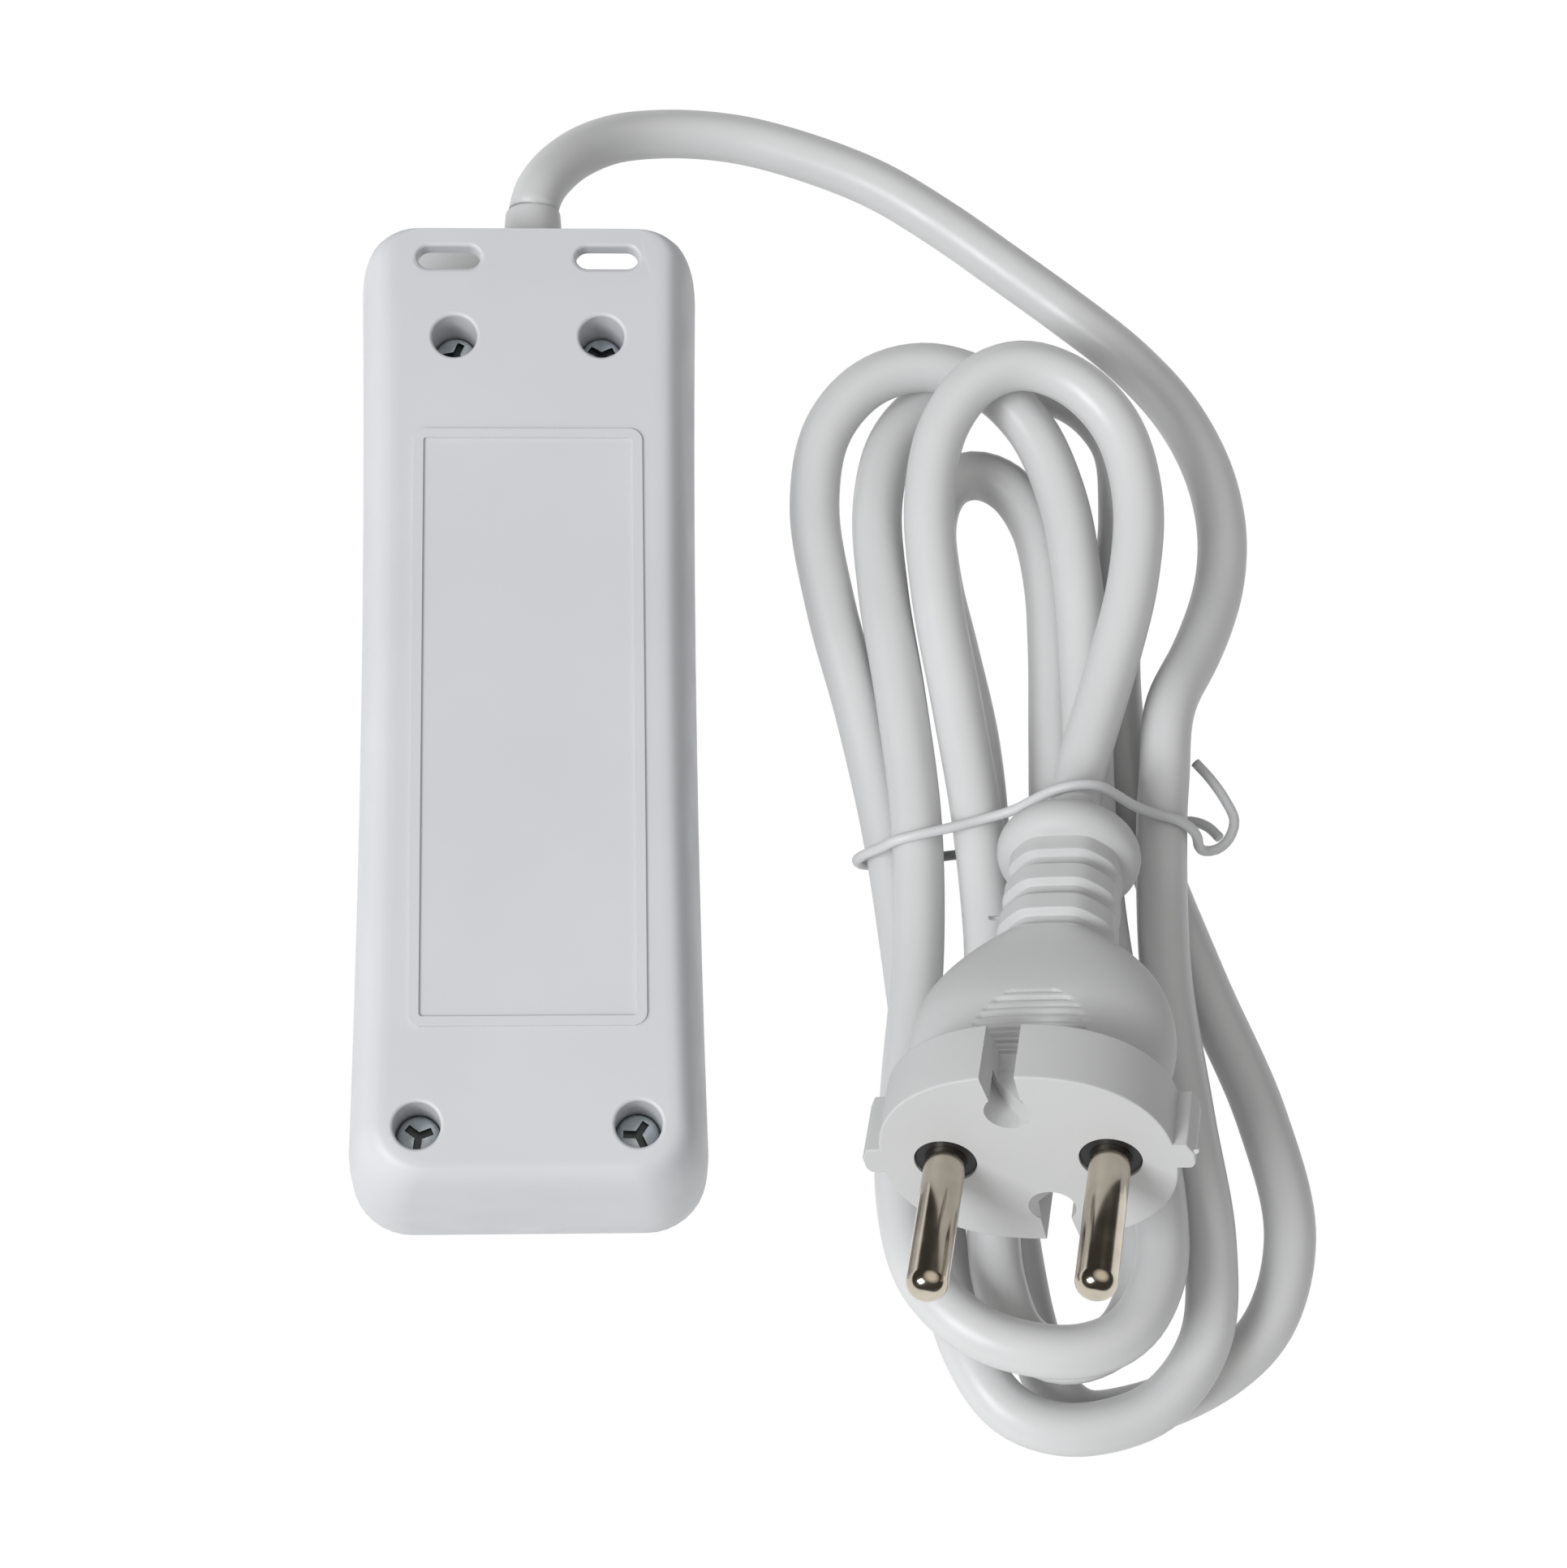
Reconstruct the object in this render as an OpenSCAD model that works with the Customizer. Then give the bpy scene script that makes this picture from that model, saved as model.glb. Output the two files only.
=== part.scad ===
// Extension cord: a three-way outlet box lying on its face, its cord in a tied hank and its moulded plug.
// Millimetres. The origin is under the middle of the box, on the surface that it lies on.
// +Z is up, out of the back of the box, and the cord leaves the box along +Y.

/* [Outlet box] */
// Length of the box
box_length = 123; // [121:1:132]
// Width of the box at its waist, measured on the surface
box_width = 42; // [42:0.5:48]
// Height from the outlet face to the back
box_height = 26; // [25.5:0.5:30]
// How much each side swells out, a swell length away from the waist
side_swell = 0.6; // [0:0.1:1.2]
// Distance from the waist at which the side has swollen by that much
swell_length = 55; // [45:1:70]
// Place of the waist along the box
waist_y = 8.5; // [0:0.5:12]
// How far each side leans in up to the round of the back's edge
side_draft = 3; // [1:0.1:3.4]
// How far the plain end leans in up to the round of the back's edge
end_draft = 1.4; // [0.6:0.1:2]
// Radius of the round along the back's edges
edge_r = 2.4; // [1:0.1:3]
// Corner radius in plan at the cord end
cord_corner_r = 3.6; // [2:0.1:5]
// Corner radius in plan at the plain end
end_corner_r = 7.5; // [5:0.5:9]
// Round along the edge of the outlet face
face_edge = 0.5; // [0.2:0.1:1]
// Thickness of the side and end walls
wall = 2; // [1.6:0.1:2.4]
// Thickness of the back
back_thickness = 1.9; // [1.5:0.1:2.2]
// Height of the seam between the two halves
seam_z = 4; // [3:0.25:5]
// Height of the tongue that locates the two halves
tongue_h = 2.5; // [1.5:0.1:4]
// Thickness of that tongue
tongue_t = 1.05; // [0.8:0.05:1.4]
// Clearance between the tongue and the cover's wall
tongue_gap = 0.15; // [0.1:0.05:0.25]
// Thickness of the outlet face between the wells
face_thickness = 2; // [1.6:0.1:3]

/* [Outlets] */
// Number of outlets
outlets = 3; // [3:1:3]
// Distance between the centres of two outlets
outlet_pitch = 37; // [36.5:0.5:38]
// Place of the middle outlet along the box
middle_outlet_y = -3.25; // [-4:0.25:-2]
// Diameter of the well that takes the plug's face
well_d = 36; // [34:0.5:36]
// Depth of the well
well_depth = 4.5; // [4.2:0.1:4.6]
// Thickness of the well's floor
well_floor = 2; // [1.5:0.1:2.4]
// Thickness of the well's side
well_wall = 1.2; // [1:0.1:1.6]
// Distance between the two pin holes
pin_spacing = 19; // [18.5:0.1:19.5]
// Diameter of a pin hole
pin_hole_d = 5.2; // [5.1:0.1:5.6]
// Outer diameter of the collar round a pin hole
collar_d = 8; // [7:0.1:8.5]
// Height of the collar above the well's floor
collar_h = 2.6; // [2:0.1:3]

/* [Back of the box] */
// Distance between the two screws at the cord end
cord_screw_spacing = 18.3; // [17.9:0.1:19]
// Place of those screws along the box
cord_screw_y = 46.76; // [46.6:0.02:47.4]
// Distance between the two screws at the plain end
end_screw_spacing = 25.96; // [25:0.02:26.4]
// Place of those screws along the box
end_screw_y = -53.37; // [-53.6:0.01:-53]
// Diameter of the mouth in the back over a screw
mouth_d = 6; // [5.7:0.1:6.2]
// Round of the mouth's rim
mouth_round = 0.7; // [0.4:0.1:0.9]
// Depth of the screw's seat below the back
seat_depth = 8.2; // [7.5:0.1:9]
// Outer diameter of the tube round a screw
tube_d = 9; // [8.6:0.1:9.4]
// Thickness of the tube's floor under the screw's head
seat_floor = 2.3; // [1.8:0.1:2.6]
// Outer diameter of the boss that takes the screw's thread
boss_d = 6.5; // [6:0.1:7]
// Clearance between a tube's foot and its boss
boss_gap = 0.2; // [0.1:0.05:0.4]
// Distance between the two hanging slots
slot_spacing = 19.8; // [19:0.1:21]
// Length of a hanging slot
slot_length = 7.86; // [7:0.02:8.5]
// Width of a hanging slot
slot_width = 3.25; // [3:0.05:3.6]
// Distance from the slots' centre line to the cord end
slot_edge = 3.9; // [3.4:0.05:4.4]
// Round of the slots' rims
slot_round = 0.8; // [0.4:0.1:1]
// Depth of the pocket at the cord end, under the slots
pocket_depth = 6.5; // [6:0.1:7]
// Thickness of the ledge over that pocket
ledge_thickness = 2.5; // [2:0.1:3.2]
// Width over the raised frame on the back
frame_width = 28.14; // [26:0.02:29]
// Near end of the raised frame
frame_y0 = -41.57; // [-43:0.01:-40]
// Far end of the raised frame
frame_y1 = 34.22; // [33:0.01:36]
// Width of the raised frame's ridge
frame_ridge = 1.2; // [0.8:0.1:1.6]
// Height of the raised frame's ridge
frame_h = 0.25; // [0.2:0.05:0.4]
// Corner radius of the raised frame
frame_corner_r = 1.5; // [1.3:0.1:2.5]

/* [Screws] */
// Thread diameter of a cover screw
screw_d = 2.9; // [2.6:0.1:3]
// Head diameter of a cover screw
screw_head_d = 5.2; // [4.8:0.1:5.4]
// Head height of a cover screw
screw_head_h = 2; // [1.6:0.1:2.2]
// Space left in the boss under a cover screw's end
screw_end_gap = 1.2; // [0.6:0.1:2]
// Thread diameter of a clamp screw
clamp_screw_d = 2.2; // [2:0.1:2.4]
// Head diameter of a clamp screw
clamp_head_d = 4; // [3.6:0.1:4.2]
// Head height of a clamp screw
clamp_head_h = 1.6; // [1.2:0.1:1.8]
// Clearance round a screw's thread
thread_gap = 0.1; // [0.05:0.05:0.2]
// Clearance round a screw's shank in the piece that it holds
shank_gap = 0.5; // [0.3:0.1:0.6]
// Width of one wing of the recess in a cover screw's head
wing_w = 0.9; // [0.7:0.1:1.1]
// Reach of that wing from the middle
wing_reach = 1.7; // [1.4:0.1:2]
// Depth of the recess
wing_depth = 1.1; // [0.8:0.1:1.3]

/* [Contacts] */
// Outer diameter of a contact sleeve
contact_d = 6.6; // [6.3:0.1:6.9]
// Bore of a contact sleeve
contact_bore = 4.84; // [4.82:0.01:4.88]
// Height of a contact sleeve
contact_h = 9; // [8:0.25:10]
// Width of the slit that lets the sleeve spring
contact_slit = 1.4; // [1:0.1:1.8]
// Thickness of the bus bar
bar_t = 0.8; // [0.6:0.1:1]
// Height of the bus bar
bar_h = 5; // [4:0.1:6]
// Length of the bus bar past the outer contacts
bar_over = 4; // [3:0.1:4.2]
// Thickness of the ribs that carry the bus bars
bar_rib_t = 1.6; // [1.2:0.1:2]

/* [Cord] */
// Diameter of the cord
cord_d = 6.4; // [6:0.1:6.4]
// Diameter of one insulated core
core_d = 2.4; // [2.2:0.1:2.6]
// Place of the cord across the box where it leaves
cord_exit_x = 0.5; // [0:0.1:0.8]
// Height of the cord where it leaves the box
cord_exit_z = 14; // [13.8:0.1:14.4]
// Diameter of the sleeve at the box
sleeve_d = 9.4; // [9:0.1:10]
// Diameter of the sleeve at its tip
sleeve_tip_d = 7.2; // [7.1:0.1:7.6]
// Length of the sleeve outside the end wall
sleeve_length = 14; // [12:0.5:16]
// Diameter of the flange that holds the sleeve inside the end wall
sleeve_flange_d = 12; // [11:0.1:13]
// Thickness of that flange
sleeve_flange_t = 1.4; // [1.2:0.1:1.6]
// Clearance round the cord, the sleeve and the pieces in the plug
fit_gap = 0.05; // [0.05:0.01:0.1]
// Distance from the inner side of the end wall to the clamp
clamp_inset = 11; // [10.8:0.1:11.4]
// Width of the clamp along the cord
clamp_w = 4; // [3:0.1:4.2]
// Length of the clamp across the cord
clamp_l = 16.8; // [16:0.1:17]
// Distance between the two clamp screws
clamp_screw_spacing = 12; // [11.6:0.1:12.4]
// Thickness of the clamp over the cord
clamp_t = 1.7; // [1.4:0.1:2]
// Gap between the clamp and the rest under the cord
clamp_gap = 0.3; // [0.2:0.05:0.5]
// Length of cord past the clamp
cord_past_clamp = 1; // [0.5:0.1:2]

/* [Plug] */
// Height of the middle of the plug's face
plug_z = 43; // [43:0.5:46]
// Width of the plug's face
plug_face_w = 34; // [33:0.2:35]
// Height of the plug's face
plug_face_h = 29; // [28:0.2:30]
// Depth of the rim behind the face
rim_depth = 8; // [7:0.1:8.5]
// Width over the two side ears of the rim
ear_w = 38; // [37:0.2:39]
// Height of an ear
ear_h = 8.8; // [8:0.2:10]
// Diameter of a pin
plug_pin_d = 4.8; // [4.6:0.05:4.8]
// Length of a pin in front of the face
plug_pin_l = 19; // [18:0.1:19.2]
// Diameter of the base ring round a pin
pin_base_d = 7; // [6.4:0.1:7.4]
// Length of the plug from its face to the back of its flange
plug_length = 54; // [52:0.5:56]
// Diameter of the flange where the cord enters
flange_d = 17.4; // [16:0.2:18]
// Thickness of the flange
flange_t = 4; // [3:0.2:5]
// Width of the neck
neck_w = 14.2; // [13:0.2:15]
// Depth of the grooves in the neck
neck_groove = 0.8; // [0.5:0.1:1]
// Width of the slot part of a face notch
notch_w = 3.8; // [3.2:0.1:4.2]
// Diameter of the round part of a face notch
notch_d = 6.2; // [5.6:0.1:6.4]

/* [Twist tie] */
// Thickness of the tie
tie_d = 1.3; // [1:0.05:1.3]

/* [Hidden] */
$fn = 48;
shell_white = "gainsboro";
cut = 1;          // how far a cutter runs past what it cuts
sunk = 0.6;       // how far a rib or boss reaches into what it stands on

// places worked out from the sizes above
end_y = box_length / 2;
end_wall_y = end_y - pocket_depth;            // outer side of the wall under the ledge
inner_end_y = end_wall_y - wall;
slot_y = end_y - slot_edge;
well_top = well_depth + well_floor;
contact_z = well_top + collar_h;
outlet_ys = [for (i = [0:outlets - 1]) middle_outlet_y + (i - (outlets - 1) / 2) * outlet_pitch];
seat_z = box_height - seat_depth;
tube_foot = seat_z - seat_floor;
boss_top = tube_foot - boss_gap;
pilot_z = well_top + sunk;                   // bottom of the screws' holes
screw_length = seat_z - pilot_z - screw_end_gap;
screw_places = [for (s = [-1, 1]) each [[s * cord_screw_spacing / 2, cord_screw_y],
                                        [s * end_screw_spacing / 2, end_screw_y]]];
bar_x = pin_spacing / 2 + contact_d / 2 - 0.2;   // inner side of a bus bar
bar_z = contact_z + (contact_h - bar_h) / 2;
clamp_y = inner_end_y - clamp_inset - clamp_w / 2;
clamp_places = [for (s = [-1, 1]) [cord_exit_x + s * clamp_screw_spacing / 2, clamp_y]];
rest_top = cord_exit_z - 2;
clamp_top = cord_exit_z + cord_d / 2 + fit_gap + clamp_t;
tail_end_y = clamp_y - clamp_w / 2 - cord_past_clamp;
lug_y = (outlet_ys[1] + outlet_ys[2]) / 2;
lug_w = 3;
lug_l = 6;

// ---- shared shapes ----

function unit(v) = v / norm(v);
function tangent(p, i) = unit(p[min(i + 1, len(p) - 1)] - p[max(i - 1, 0)]);

// a ring of n points round c, square to the direction t
function ring(c, t, r, n, up) =
    let (s = unit(cross(t, up)), v = cross(s, t))
    [for (k = [0:n - 1]) let (a = 90 + 360 * k / n) c + r * (cos(a) * s + sin(a) * v)];

// a closed skin over rings that all have the same number of points
module skin(rings) {
    n = len(rings[0]);
    last = len(rings) - 1;
    sides = [for (i = [0:last - 1], k = [0:n - 1])
        let (a = i * n + k, b = i * n + (k + 1) % n) each [[a, a + n, b], [b, a + n, b + n]]];
    near = [for (k = [1:n - 2]) [0, k, k + 1]];
    far = [for (k = [1:n - 2]) [last * n, last * n + k + 1, last * n + k]];
    polyhedron(points = [for (r = rings) each r], faces = concat(sides, near, far), convexity = 12);
}

// a round tube swept along the points p
module sweep(p, r, n, up = [0, 0, 1])
    skin([for (i = [0:len(p) - 1]) ring(p[i], tangent(p, i), r, n, up)]);

// a straight round rod from a to b
module rod(a, b, r) {
    d = b - a;
    translate(a) rotate([0, acos(d[2] / norm(d)), atan2(d[1], d[0])]) cylinder(h = norm(d), r = r);
}

// a plate with round corners
module rounded(size, r) {
    x = size[0] / 2 - r;
    y = size[1] / 2 - r;
    hull() for (sx = [-1, 1], sy = [-1, 1]) translate([sx * x, sy * y]) circle(r, $fn = 32);
}

// ---- the outlet box ----

// half width of the box at the place y, on the surface
function half_width(y) = box_width / 2 + side_swell * pow((y - waist_y) / swell_length, 2);

// one side of the box's outline from the plain end to y1, moved in by side and plain
function flank(side, plain, y1, r0, r1) =
    let (y0 = -end_y + plain, a = y0 + r0, b = y1 - r1, steps = 8)
    concat(
        [for (k = [0:5]) [half_width(a) - side - r0 + r0 * sin(18 * k), a - r0 * cos(18 * k)]],
        [for (k = [1:steps - 1]) let (y = a + (b - a) * k / steps) [half_width(y) - side, y]],
        [for (k = [0:5]) [half_width(b) - side - r1 + r1 * cos(18 * k), b + r1 * sin(18 * k)]]);

// a level of the box: both flanks at the height z
function level(z, side, plain, y1, r0, r1) =
    let (f = flank(side, plain, y1, r0, r1), n = len(f))
    concat([for (p = f) [p[0], p[1], z]], [for (i = [n - 1:-1:0]) [-f[i][0], f[i][1], z]]);

// lean of the sides at the height z, as a share of the draft
function lean(z) = z / (box_height - edge_r);

// the box's outer form from z0 up to the back
module outer(z0) {
    low = z0 == 0 ? [[0, face_edge], [face_edge, 0]] : [[z0, 0]];
    straight = [for (p = low) level(p[0], side_draft * lean(p[0]) + p[1], end_draft * lean(p[0]) + p[1],
                                    end_y - p[1], end_corner_r, cord_corner_r)];
    round_edge = [for (a = [0:18:90]) let (x = edge_r * (1 - cos(a)), z = box_height - edge_r * (1 - sin(a)))
        level(z, side_draft + x, end_draft + x, end_y, end_corner_r - x * 0.8, cord_corner_r - x * 0.2)];
    skin(concat(straight, round_edge));
}

// the part of the outer form below the height z1
module outer_below(z1) {
    skin([for (p = [[0, face_edge], [face_edge, 0], [z1, 0]])
        level(p[0], side_draft * lean(p[0]) + p[1], end_draft * lean(p[0]) + p[1],
              end_y - p[1], end_corner_r, cord_corner_r)]);
}

// a space inside the box from z0 to z1, moved in by m, that ends at y1
module inside(z0, z1, m, y1)
    skin([for (z = [z0, z1])
        level(z, side_draft * lean(z) + m, end_draft * lean(z) + m, y1,
              end_corner_r - m, max(cord_corner_r - m, 0.8))]);

// the pocket under the ledge, open to the end and to the surface
module pocket(z1) {
    w0 = 2 * (half_width(end_y) - wall);
    w1 = w0 - 2 * side_draft * lean(z1);
    translate([0, end_y + cut, 0]) rotate([90, 0, 0]) linear_extrude(pocket_depth + cut)
        polygon([[-w0 / 2, -cut], [w0 / 2, -cut], [w1 / 2, z1], [-w1 / 2, z1]]);
}

// a mouth with a rounded rim, cut down from the height z
module mouth(d, depth, z, lip) {
    translate([0, 0, z - depth]) cylinder(d = d, h = depth + cut);
    translate([0, 0, z]) rotate_extrude()
        difference() {
            translate([0, -lip]) square([d / 2 + lip, lip + cut]);
            translate([d / 2 + lip, -lip]) circle(lip, $fn = 32);
        }
}

// the space inside the walls up to z1: sunk into them below the seam, clear of the cover above it
module lining(z1) {
    inside(face_thickness - sunk, seam_z, wall - sunk, inner_end_y + sunk);
    inside(seam_z - sunk, z1, wall + tongue_gap, inner_end_y - tongue_gap);
}

module front_housing() {
    color(shell_white) difference() {
        union() {
            difference() {
                outer_below(seam_z);
                inside(face_thickness, seam_z + cut, wall, inner_end_y);
            }
            difference() {
                lining(seam_z + tongue_h);
                inside(face_thickness - 2 * sunk, seam_z + tongue_h + cut, wall + tongue_gap + tongue_t,
                       inner_end_y - tongue_gap - tongue_t);
            }
            intersection() {
                lining(well_top);
                for (y = outlet_ys) translate([0, y, sunk]) cylinder(r = well_d / 2 + well_wall, h = box_height);
            }
            for (y = outlet_ys, s = [-1, 1]) translate([s * pin_spacing / 2, y, well_depth + sunk])
                cylinder(d = collar_d, h = contact_z - well_depth - sunk);
            for (p = screw_places) translate([p[0], p[1], face_thickness / 2])
                cylinder(d = boss_d, h = boss_top - face_thickness / 2);
            for (i = [0:outlets - 2], s = [-1, 1])
                translate([s * (bar_x + bar_t / 2) - 1.6, (outlet_ys[i] + outlet_ys[i + 1] - bar_rib_t) / 2, 1])
                    cube([3.2, bar_rib_t, bar_z - 1]);
            translate([cord_exit_x - cord_d / 2 - 1, clamp_y - clamp_w / 2, well_depth + sunk])
                cube([cord_d + 2, clamp_w, rest_top - well_depth - sunk]);
            for (p = clamp_places) translate([p[0], p[1], well_depth + sunk])
                cylinder(d = clamp_screw_d + 2.2, h = rest_top - well_depth - sunk);
        }
        for (y = outlet_ys) translate([0, y, -cut]) cylinder(d = well_d, h = well_depth + cut);
        for (y = outlet_ys, s = [-1, 1]) translate([s * pin_spacing / 2, y, 0])
            cylinder(d = pin_hole_d, h = contact_z + cut);
        for (p = screw_places) translate([p[0], p[1], pilot_z])
            cylinder(d = screw_d + 2 * thread_gap, h = boss_top);
        for (p = clamp_places) translate([p[0], p[1], pilot_z])
            cylinder(d = clamp_screw_d + 2 * thread_gap, h = rest_top);
        translate([cord_exit_x, clamp_y - clamp_w, cord_exit_z]) rotate([-90, 0, 0])
            cylinder(d = cord_d + 2 * fit_gap, h = 2 * clamp_w);
        pocket(box_height / 2);
    }
}

module back_cover() {
    under = box_height - back_thickness;
    color(shell_white) difference() {
        union() {
            difference() {
                outer(seam_z);
                inside(seam_z - cut, under, wall, inner_end_y);
            }
            for (p = screw_places) translate([p[0], p[1], tube_foot])
                cylinder(d = tube_d, h = box_height - tube_foot - edge_r / 2);
            translate([0, (frame_y0 + frame_y1) / 2, box_height - 0.2]) linear_extrude(frame_h + 0.2)
                difference() {
                    rounded([frame_width, frame_y1 - frame_y0], frame_corner_r);
                    rounded([frame_width - 2 * frame_ridge, frame_y1 - frame_y0 - 2 * frame_ridge],
                            frame_corner_r - frame_ridge + 0.6);
                }
        }
        for (p = screw_places) translate([p[0], p[1], 0]) {
            mouth(mouth_d, seat_depth, box_height, mouth_round);
            translate([0, 0, tube_foot - cut]) cylinder(d = screw_d + 2 * shank_gap, h = seat_depth);
        }
        pocket(box_height - ledge_thickness);
        for (s = [-1, 1]) translate([s * slot_spacing / 2, slot_y, box_height]) hanging_slot();
        translate([cord_exit_x, inner_end_y - cut, cord_exit_z]) rotate([-90, 0, 0])
            cylinder(d = sleeve_d + 2 * fit_gap, h = wall + 2 * cut);
    }
}

// a slot with round ends and a rounded rim, cut down through the ledge
module hanging_slot() {
    run = slot_length - slot_width;
    translate([0, 0, -ledge_thickness - cut]) linear_extrude(ledge_thickness + 2 * cut)
        union() {
            square([run, slot_width], center = true);
            for (s = [-1, 1]) translate([s * run / 2, 0]) circle(d = slot_width);
        }
    for (s = [-1, 1]) translate([s * run / 2, 0, 0]) rotate([0, 0, s * 90 - 90]) rim_cut(180);
    for (s = [-1, 1]) scale([1, 1, 1]) rotate([0, 0, s * 90 + 90]) translate([-run / 2, 0, 0])
        rotate([90, 0, 90]) linear_extrude(run) rim_profile();
}

// section of what the rounded rim takes away, from the slot's middle outwards
module rim_profile()
    difference() {
        translate([0, -slot_round]) square([slot_width / 2 + slot_round, slot_round + cut]);
        translate([slot_width / 2 + slot_round, -slot_round]) circle(slot_round, $fn = 32);
    }

module rim_cut(turn) rotate([0, 0, -turn / 2]) rotate_extrude(angle = turn) rim_profile();

module cover_screws() {
    color("silver") for (p = screw_places) translate([p[0], p[1], seat_z]) difference() {
        union() {
            cylinder(d = screw_head_d, h = screw_head_h);
            translate([0, 0, -screw_length]) cylinder(d = screw_d, h = screw_length + 0.1);
        }
        for (a = [90, 210, 330]) rotate([0, 0, a])
            translate([0, -wing_w / 2, screw_head_h - wing_depth]) cube([wing_reach, wing_w, wing_depth + cut]);
    }
}

// one pole: a strip with a spring sleeve at each outlet, on the side s
module bus_bar(s) {
    y0 = outlet_ys[0] - contact_d / 2 - bar_over;
    y1 = outlet_ys[outlets - 1] + contact_d / 2 + bar_over;
    color("goldenrod") difference() {
        union() {
            for (y = outlet_ys) translate([s * pin_spacing / 2, y, contact_z])
                cylinder(d = contact_d, h = contact_h);
            translate([s > 0 ? bar_x : -bar_x - bar_t, y0, bar_z]) cube([bar_t, y1 - y0, bar_h]);
        }
        for (y = outlet_ys) translate([s * pin_spacing / 2, y, contact_z - cut]) {
            cylinder(d = contact_bore, h = contact_h + 2 * cut);
            rotate([0, 0, s > 0 ? 180 : 0]) translate([0, -contact_slit / 2, 0])
                cube([contact_d, contact_slit, contact_h + 2 * cut]);
        }
    }
}

module bus_bar_live() bus_bar(1);
module bus_bar_neutral() bus_bar(-1);

module cord_clamp() {
    z0 = rest_top + clamp_gap;
    color("whitesmoke") difference() {
        translate([cord_exit_x - clamp_l / 2, clamp_y - clamp_w / 2, z0]) cube([clamp_l, clamp_w, clamp_top - z0]);
        translate([cord_exit_x, clamp_y - clamp_w, cord_exit_z]) rotate([-90, 0, 0])
            cylinder(d = cord_d + 2 * fit_gap, h = 2 * clamp_w);
        translate([cord_exit_x - cord_d / 2 - fit_gap, clamp_y - clamp_w, z0 - cut])
            cube([cord_d + 2 * fit_gap, 2 * clamp_w, cord_exit_z - z0 + cut]);
        for (p = clamp_places) translate([p[0], p[1], z0 - cut])
            cylinder(d = clamp_screw_d + 2 * thread_gap, h = clamp_top);
    }
}

module clamp_screws() {
    color("silver") for (p = clamp_places) translate([p[0], p[1], clamp_top]) {
        cylinder(d = clamp_head_d, h = clamp_head_h);
        translate([0, 0, pilot_z + 0.4 - clamp_top]) cylinder(d = clamp_screw_d, h = clamp_top - pilot_z - 0.3);
    }
}

module cord_sleeve() {
    color(shell_white) translate([cord_exit_x, 0, cord_exit_z]) rotate([-90, 0, 0]) difference() {
        union() {
            translate([0, 0, inner_end_y - fit_gap - sleeve_flange_t])
                cylinder(d = sleeve_flange_d, h = sleeve_flange_t);
            translate([0, 0, inner_end_y - fit_gap - 0.1]) cylinder(d = sleeve_d, h = wall + fit_gap + 0.1);
            translate([0, 0, end_wall_y]) cylinder(d1 = sleeve_d, d2 = sleeve_tip_d, h = sleeve_length - 1.2);
            translate([0, 0, end_wall_y + sleeve_length - 1.2]) cylinder(d = sleeve_tip_d, h = 1.2);
        }
        translate([0, 0, tail_end_y]) cylinder(d = cord_d + 2 * fit_gap, h = box_length);
    }
}

// ---- the cord ----

sleeve_tip = [cord_exit_x, end_wall_y + sleeve_length, cord_exit_z];

module cord_tail() {
    color("gainsboro") rod([cord_exit_x, tail_end_y, cord_exit_z], sleeve_tip, cord_d / 2);
}

// a core from the end of the jacket to its lug, on the side s
function core_path(s) =
    let (z = cord_exit_z, x = cord_exit_x + s * core_d / 2 + s * 0.2, lug_x = s * (bar_x - lug_w / 2))
    [[x, tail_end_y, z], [x, tail_end_y - 4, z], [x + s * 0.6, lug_y + 13, z], [x + s * 2.6, lug_y + 10, z],
     [lug_x - s * 2.6, lug_y + 7.4, z], [lug_x - s * 0.5, lug_y + 5.6, z], [lug_x, lug_y + 4, z],
     [lug_x, lug_y + lug_l / 2, z]];

module core_live() { color("saddlebrown") sweep(core_path(1), core_d / 2, 10); }
module core_neutral() { color("royalblue") sweep(core_path(-1), core_d / 2, 10); }

module core_lugs() {
    color("goldenrod") for (s = [-1, 1])
        translate([s > 0 ? bar_x - lug_w : -bar_x, lug_y - lug_l / 2, cord_exit_z - lug_w / 2])
            cube([lug_w, lug_l, lug_w]);
}

// Waist and half turns of the hank. The runs pass the waist side by side in two layers.
waist_line = -12;
hank_steps = 12;          // rings in a half turn
bulge = 2.598;            // makes a bulge's size the most that it reaches
// runs through the waist: x, z, lean
right_runs = [[78.7, 11.5, 0.1], [70, 10.4, 0], [77.4, 4.6, -0.25], [66.2, 4.6, 0]];
left_runs = [[45, 4.6, -0.13], [48, 11.1, -0.05], [57.2, 4.6, 0], [55.6, 11.4, -0.1]];
last_run = [68.6, 17.2, 0.19];
// far points of the half turns: x, y, z, then the bulge of the half that comes in and of the one that goes out
near_turns = [[64.5, -87.5, 10.2, 11.2, 4.5], [63.2, -80.2, 22.6, 8, 10], [67, -84.8, 3.2, 13.5, 1],
              [63.4, -79.6, 14.8, 9, 5]];
far_turns = [[50.6, 49.2, 10.6, 8, 4], [61, 50, 3.2, 6.6, 10.5], [57.5, 37.2, 3.2, 5.5, 3.2],
             [62.5, 46.4, 17.8, 5.4, 6.4]];

// a half turn from the run s round the far point a to the run e; side is +1 where it sets out on the right
function half_turn(s, a, e, side, steps) =
    let (reach = a[1] - waist_line)
    [for (i = [0:steps - 1])
        let (u = 180 * i / hank_steps, c = cos(u), w = sin(u), q = c >= 0 ? s : e,
             b = (c >= 0 ? a[3] : -a[4]) * side)
        [a[0] + (q[0] - a[0]) * abs(c) + b * bulge * w * w * abs(c) + q[2] * reach * w * c * c,
         waist_line + reach * w,
         q[1] + (a[2] - q[1]) * w * w]];

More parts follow.
